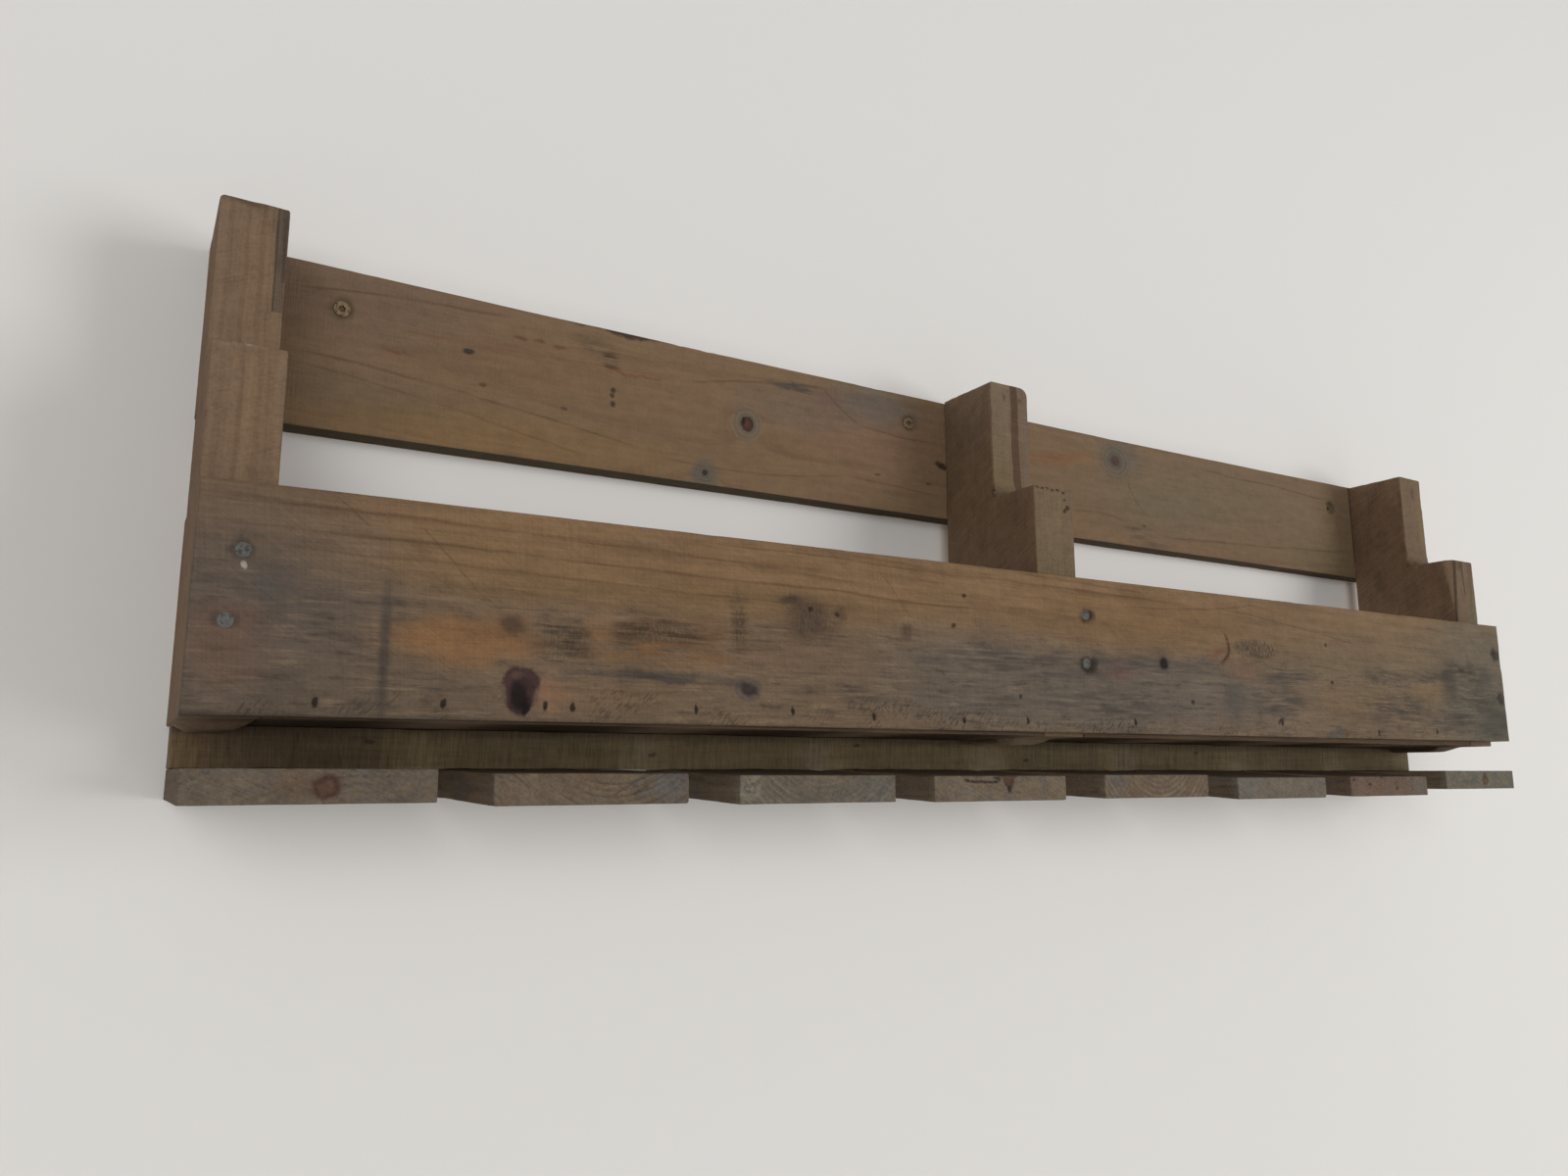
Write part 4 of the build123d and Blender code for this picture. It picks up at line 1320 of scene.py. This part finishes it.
def stringer_finishes():
    """Three stringers, each from a different pallet."""
    left = stringer_wood(
        "left_stringer_finish",
        (-494.0, -170.0),
        21.0,
        early=(115, 95, 76),
        late=(92, 74, 58),
        ring=5.0,
        contrast=0.24,
        sides=(-508.0, -476.5),
    )
    left.stain(-489, -60, 9, 120, (118, 94, 68), 0.4, 0.8, deep=THROUGH)
    stripes = ((-504, -501.6, 0.16), (-496, -494, 0.22), (-489, -486.4, 0.19), (-484.6, -483.4, 0.16))
    for low, high, strength in stripes:
        left.stripe(low, high, -140.0, (76, 58, 46), strength)
    left.stripe(-493.5, -491.0, -140.0, (124, 104, 84), 0.2)
    left.stripe(-481.8, -476.9, -29.5, (82, 71, 61), 0.75)
    left.stain(-479, 8, 3.6, 24, (66, 57, 50), 0.65, 0.7, BROKEN, deep=THROUGH)
    left.stripe(-481.9, -481.1, -29.5, NEAR_BLACK, 0.45)
    left.stripe(-478.2, -477.0, -14.0, NEAR_BLACK, 0.2)
    left.stain(-482, 14, 2.0, 9, (60, 52, 46), 0.6, 0.7, BROKEN, deep=THROUGH)
    # Painted highlight along the shoulder's edge, with a brighter glint on it
    left.stains(
        (-493, -61.5, 1.4, 0.9, (176, 164, 148), 0.6, 0.5, SMOOTH),
        (-492, -62.6, 17, 1.0, (122, 104, 86), 0.6),
    )
    left.stain(-496, 24, 14, 2.5, (74, 62, 50), 0.6, 0.7, deep=THROUGH)
    left.saw_marks(-24.0, 30.0, 0.9, 0.3, 4.0)
    middle = stringer_wood(
        "middle_stringer_finish",
        (-8.0, -190.0),
        22.0,
        early=(109, 92, 71),
        late=(90, 73, 56),
        ring=6.0,
        contrast=0.4,
        sides=(-25.5, 9.5),
    )
    middle.stains(
        (-16, 4, 12, 30, (114, 99, 82), 0.55, 0.8),
        (-18, -46, 9, 14, (112, 96, 70), 0.55, 0.8),
        deep=THROUGH,
    )
    middle.stripe(-7.2, -0.4, -61.0, (78, 57, 45), 0.88)
    middle.stripe(-6.2, -4.6, -61.0, (92, 68, 54), 0.35)
    middle.stain(6, -14, 3.4, 50, (108, 91, 84), 0.5, 0.7, deep=THROUGH)
    middle.saw_marks(2.0, 24.0, 0.8, 0.4, 4.0)
    middle.stains(
        (1.8, -76.6, 2.0, 1.3, (46, 34, 24), 0.85, 0.45, SMOOTH, -40.0),
        (4.6, -74.2, 1.8, 1.5, (46, 34, 24), 0.85, 0.45, SMOOTH),
        deep=THROUGH,
    )
    nicks = ((-22, -62.8), (-18, -63.0), (-13.5, -62.8), (-9, -63.2), (-4, -63.0), (1.5, -64), (2, -69))
    middle.spots(nicks, 1.5, 0.9, (56, 42, 32), 0.85)
    middle.stains(
        (-13, 12, 1.6, 2.2, (80, 62, 54), 0.6, 0.5, SMOOTH),
        (2, 12, 2.0, 1.8, (84, 64, 56), 0.6, 0.5, SMOOTH),
        deep=THROUGH,
    )
    middle.line((-7.5, -112), (-7.5, -126), 0.0, 0.7, DIRT_AND_SHADE, 0.5)
    right = stringer_wood(
        "right_stringer_finish",
        (486.0, -180.0),
        23.0,
        early=(108, 89, 71),
        late=(82, 66, 51),
        ring=5.0,
        contrast=0.5,
        sides=(474.0, 508.0),
    )
    right.stains(
        (493, 9, 3.0, 6, (84, 64, 58), 0.7, 0.5, SMOOTH),
        (503, -12, 3.5, 34, (118, 102, 70), 0.5, 0.7),
        deep=THROUGH,
    )
    right.line((488.5, -55), (491.5, -94), 0.0, 1.3, (52, 42, 34), 0.85)
    right.stain(486, -66, 4, 6, (72, 58, 46), 0.6, 0.7)
    wane_distance = right.place.vector("SUBTRACT", WANE_PLACE).part_along(WANE_NORMAL)
    # Painted light: the wane is made paler than the front face so it looks lit like the face, though it turns
    # away from the lamps
    right.rub((126, 103, 82), wane_distance.between(-1.2, -0.4) * 0.85)
    front = right.place.part_along(INWARD).between(-103.2, -102.2, 1.0, 0.0)
    right.rub((60, 46, 37), wane_distance.between(-2.2, -1.0) * front * right.streaks.between(0.3, 0.5, 0.3, 0.8))
    right.stain(500, -112, 8, 14, (94, 90, 70), 0.5, 0.8)
    right.saw_marks(-20.0, 24.0, 0.8, 0.35, 4.0)
    return [wood.finish() for wood in (left, middle, right)]


def steel_finish(name, colour, mark, metallic, roughness, rusting=None):
    """Dull metal, tarnished in patches, and darker along the rack where rusting says from where to where."""
    material, tree = blank_material(name)
    place = tree.nodes.new("ShaderNodeTexCoord")
    metres = Field(tree, place.outputs["Object"])
    patch_size = 1.6 * MM
    patches = metres.seen_from(NOWHERE, (patch_size,) * 3).noise(3.0, 0.6)
    shade = plain_colour(tree, colour).toward(mark, patches.between(0.4, 0.68))
    if rusting is not None:
        along = metres.split()[0]
        shade = shade.toward((46, 39, 34), along.between(*rusting, 0.0, 0.9))
    rough = patches.between(0.3, 0.7, roughness, roughness + 0.25)
    surface_of(tree, shade, patches, rough, 0.1 * MM, Metallic=metallic, Specular_IOR_Level=0.25)
    return material


# Stage and light


def mix_shaders(tree, mix, share, first, second, output):
    """Mixes two shaders by a share and shows the result."""
    tree.links.new(share, mix.inputs["Fac"])
    tree.links.new(first.outputs[0], mix.inputs[1])
    tree.links.new(second.outputs[0], mix.inputs[2])
    tree.links.new(mix.outputs["Shader"], output.inputs["Surface"])


def one_sided(name, colour):
    """A plain matt finish that is see-through from behind, so the object can be seen from any side."""
    material, tree = blank_material(name)
    matt = tree.nodes.new("ShaderNodeBsdfDiffuse")
    matt.inputs["Color"].default_value = tone(colour)
    clear = tree.nodes.new("ShaderNodeBsdfTransparent")
    side = tree.nodes.new("ShaderNodeNewGeometry")
    mix = tree.nodes.new("ShaderNodeMixShader")
    output = tree.nodes.new("ShaderNodeOutputMaterial")
    mix_shaders(tree, mix, side.outputs["Backfacing"], matt, clear, output)
    return material


def stage_plane(name, centre, across, up, half_width, half_height, material):
    """A flat backdrop facing along across x up."""
    corners = []
    for side, rise in ((-1, -1), (1, -1), (1, 1), (-1, 1)):
        corners.append(Vector(centre) + Vector(across) * side * half_width + Vector(up) * rise * half_height)
    mesh = bpy.data.meshes.new(name)
    mesh.from_pydata(corners, [], [(0, 1, 2, 3)])
    mesh.materials.append(material)
    plane = placed_object(name, mesh)
    plane.visible_shadow = False


def area_lamp(name, place, aim, size, power):
    light = bpy.data.lights.new(name, "AREA")
    light.shape = "DISK"
    light.size = size
    light.energy = power
    lamp = placed_object(name, light)
    lamp.location = place
    lamp.rotation_euler = (Vector(aim) - Vector(place)).to_track_quat("-Z", "Y").to_euler()


def make_stage():
    """A white wall and floor, three large soft lamps, and an even light from all round."""
    wall_paint = one_sided("wall_paint", (222, 220, 217))
    floor_paint = one_sided("floor_paint", (222, 221, 218))
    stage_plane("wall", (0, 0.4 * MM, 0), RIGHT, UP, 4.0, 3.0, wall_paint)
    stage_plane("floor", (0, -1.6, -2.5), RIGHT, INWARD, 5.0, 5.0, floor_paint)
    world = bpy.data.worlds.new("studio")
    world.use_nodes = True
    bpy.context.scene.world = world
    tree = world.node_tree
    tree.nodes.clear()
    path = tree.nodes.new("ShaderNodeLightPath")
    soft = tree.nodes.new("ShaderNodeBackground")
    soft.inputs["Color"].default_value = (1.0, 0.985, 0.965, 1.0)
    soft.inputs["Strength"].default_value = 0.34
    pale = tree.nodes.new("ShaderNodeBackground")
    pale.inputs["Color"].default_value = tone((214, 214, 213))
    output = tree.nodes.new("ShaderNodeOutputWorld")
    mix = tree.nodes.new("ShaderNodeMixShader")
    seen = path.outputs["Is Camera Ray"]
    for ray in ("Is Glossy Ray", "Is Transmission Ray"):
        either = node_of(tree, "ShaderNodeMath", operation="MAXIMUM")
        tree.links.new(seen, either.inputs[0])
        tree.links.new(path.outputs[ray], either.inputs[1])
        seen = either.outputs[0]
    mix_shaders(tree, mix, seen, soft, pale, output)
    middle = (0, -0.05, -0.12)
    area_lamp("key", (2.7, -3.1, -0.25), middle, 2.2, 76.0)
    area_lamp("fill", (-2.0, -3.4, 0.2), middle, 2.4, 50.0)
    area_lamp("rear", (0.4, 2.4, 0.7), middle, 1.8, 62.0)


# The rack


def wavy_top(node):
    """Places along a board's top edge, and how high it stands at each."""
    points = cad_points(node)
    rim = points[points[:, 2] > points[:, 2].max() - RIM_DEPTH]
    rim = rim[np.argsort(rim[:, 0])]
    return rim[:, 0], rim[:, 2]


def make_boards():
    """The boards and the batten, with each one's distance between mesh lines."""
    for node, slot, material, step in (
        ("front_board", "front_board_wood", front_board_finish(), 2.5),
        ("lower_back_board", "back_board_wood", lower_board_finish(), 4.0),
        ("upper_back_board", "back_board_wood", upper_board_finish(), 3.0),
        ("left_shelf_board", "shelf_wood", shelf_finish("left_shelf_finish", 4.0, (-50.0, -160.0)), 4.0),
        ("right_shelf_board", "shelf_wood", shelf_finish("right_shelf_finish", 5.0, (-80.0, -250.0)), 4.0),
        ("rear_batten", "batten_wood", batten_finish(), 3.0),
    ):
        low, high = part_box(node)
        lines = [even_lines(low[axis], high[axis], step * MM, EDGE) for axis in range(3)]
        relief = None
        if node in DENTS:
            relief = dented(*DENTS[node])
            reaches = [((x, z), radius + 2) for x, z, radius, depth in DENTS[node][1]]
            for axis, part in ((0, 0), (2, 1)):
                extra = [(place[part] * MM, reach * MM, FINE_STEP) for place, reach in reaches]
                lines[axis] = even_lines(low[axis], high[axis], step * MM, EDGE, extra)
        spans = board_spans(node, wavy_top(node) if node == "upper_back_board" else None)
        make_timber(node, material, lines, spans, (0.5 * MM, 1.8 * MM), len(node), relief)


def make_fingers():
    batten_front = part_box("rear_batten")[0].y
    for number, material in enumerate(finger_finishes(), start=1):
        node = f"finger_{number}"
        low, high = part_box(node)
        lines = [even_lines(low[axis], high[axis], 3.0 * MM, EDGE) for axis in range(3)]
        spans = finger_spans(node, batten_front)
        make_timber(node, material, lines, spans, (0.5 * MM, 1.6 * MM), number)


def make_stringers():
    left, middle, right = stringer_finishes()
    make_stringer("left_stringer", left, 1.0, worn_corners=(3.0, 2.5))
    make_stringer("middle_stringer", middle, 2.0, worn_corners=(2.0, 8.0))
    wane = (np.array(WANE_PLACE) * MM, np.array(WANE_NORMAL))
    make_stringer("right_stringer", right, 3.0, wane=wane)


bpy.context.scene.view_settings.view_transform = "Standard"
make_camera()
make_stage()
make_boards()
make_fingers()
make_stringers()
make_all_fasteners()
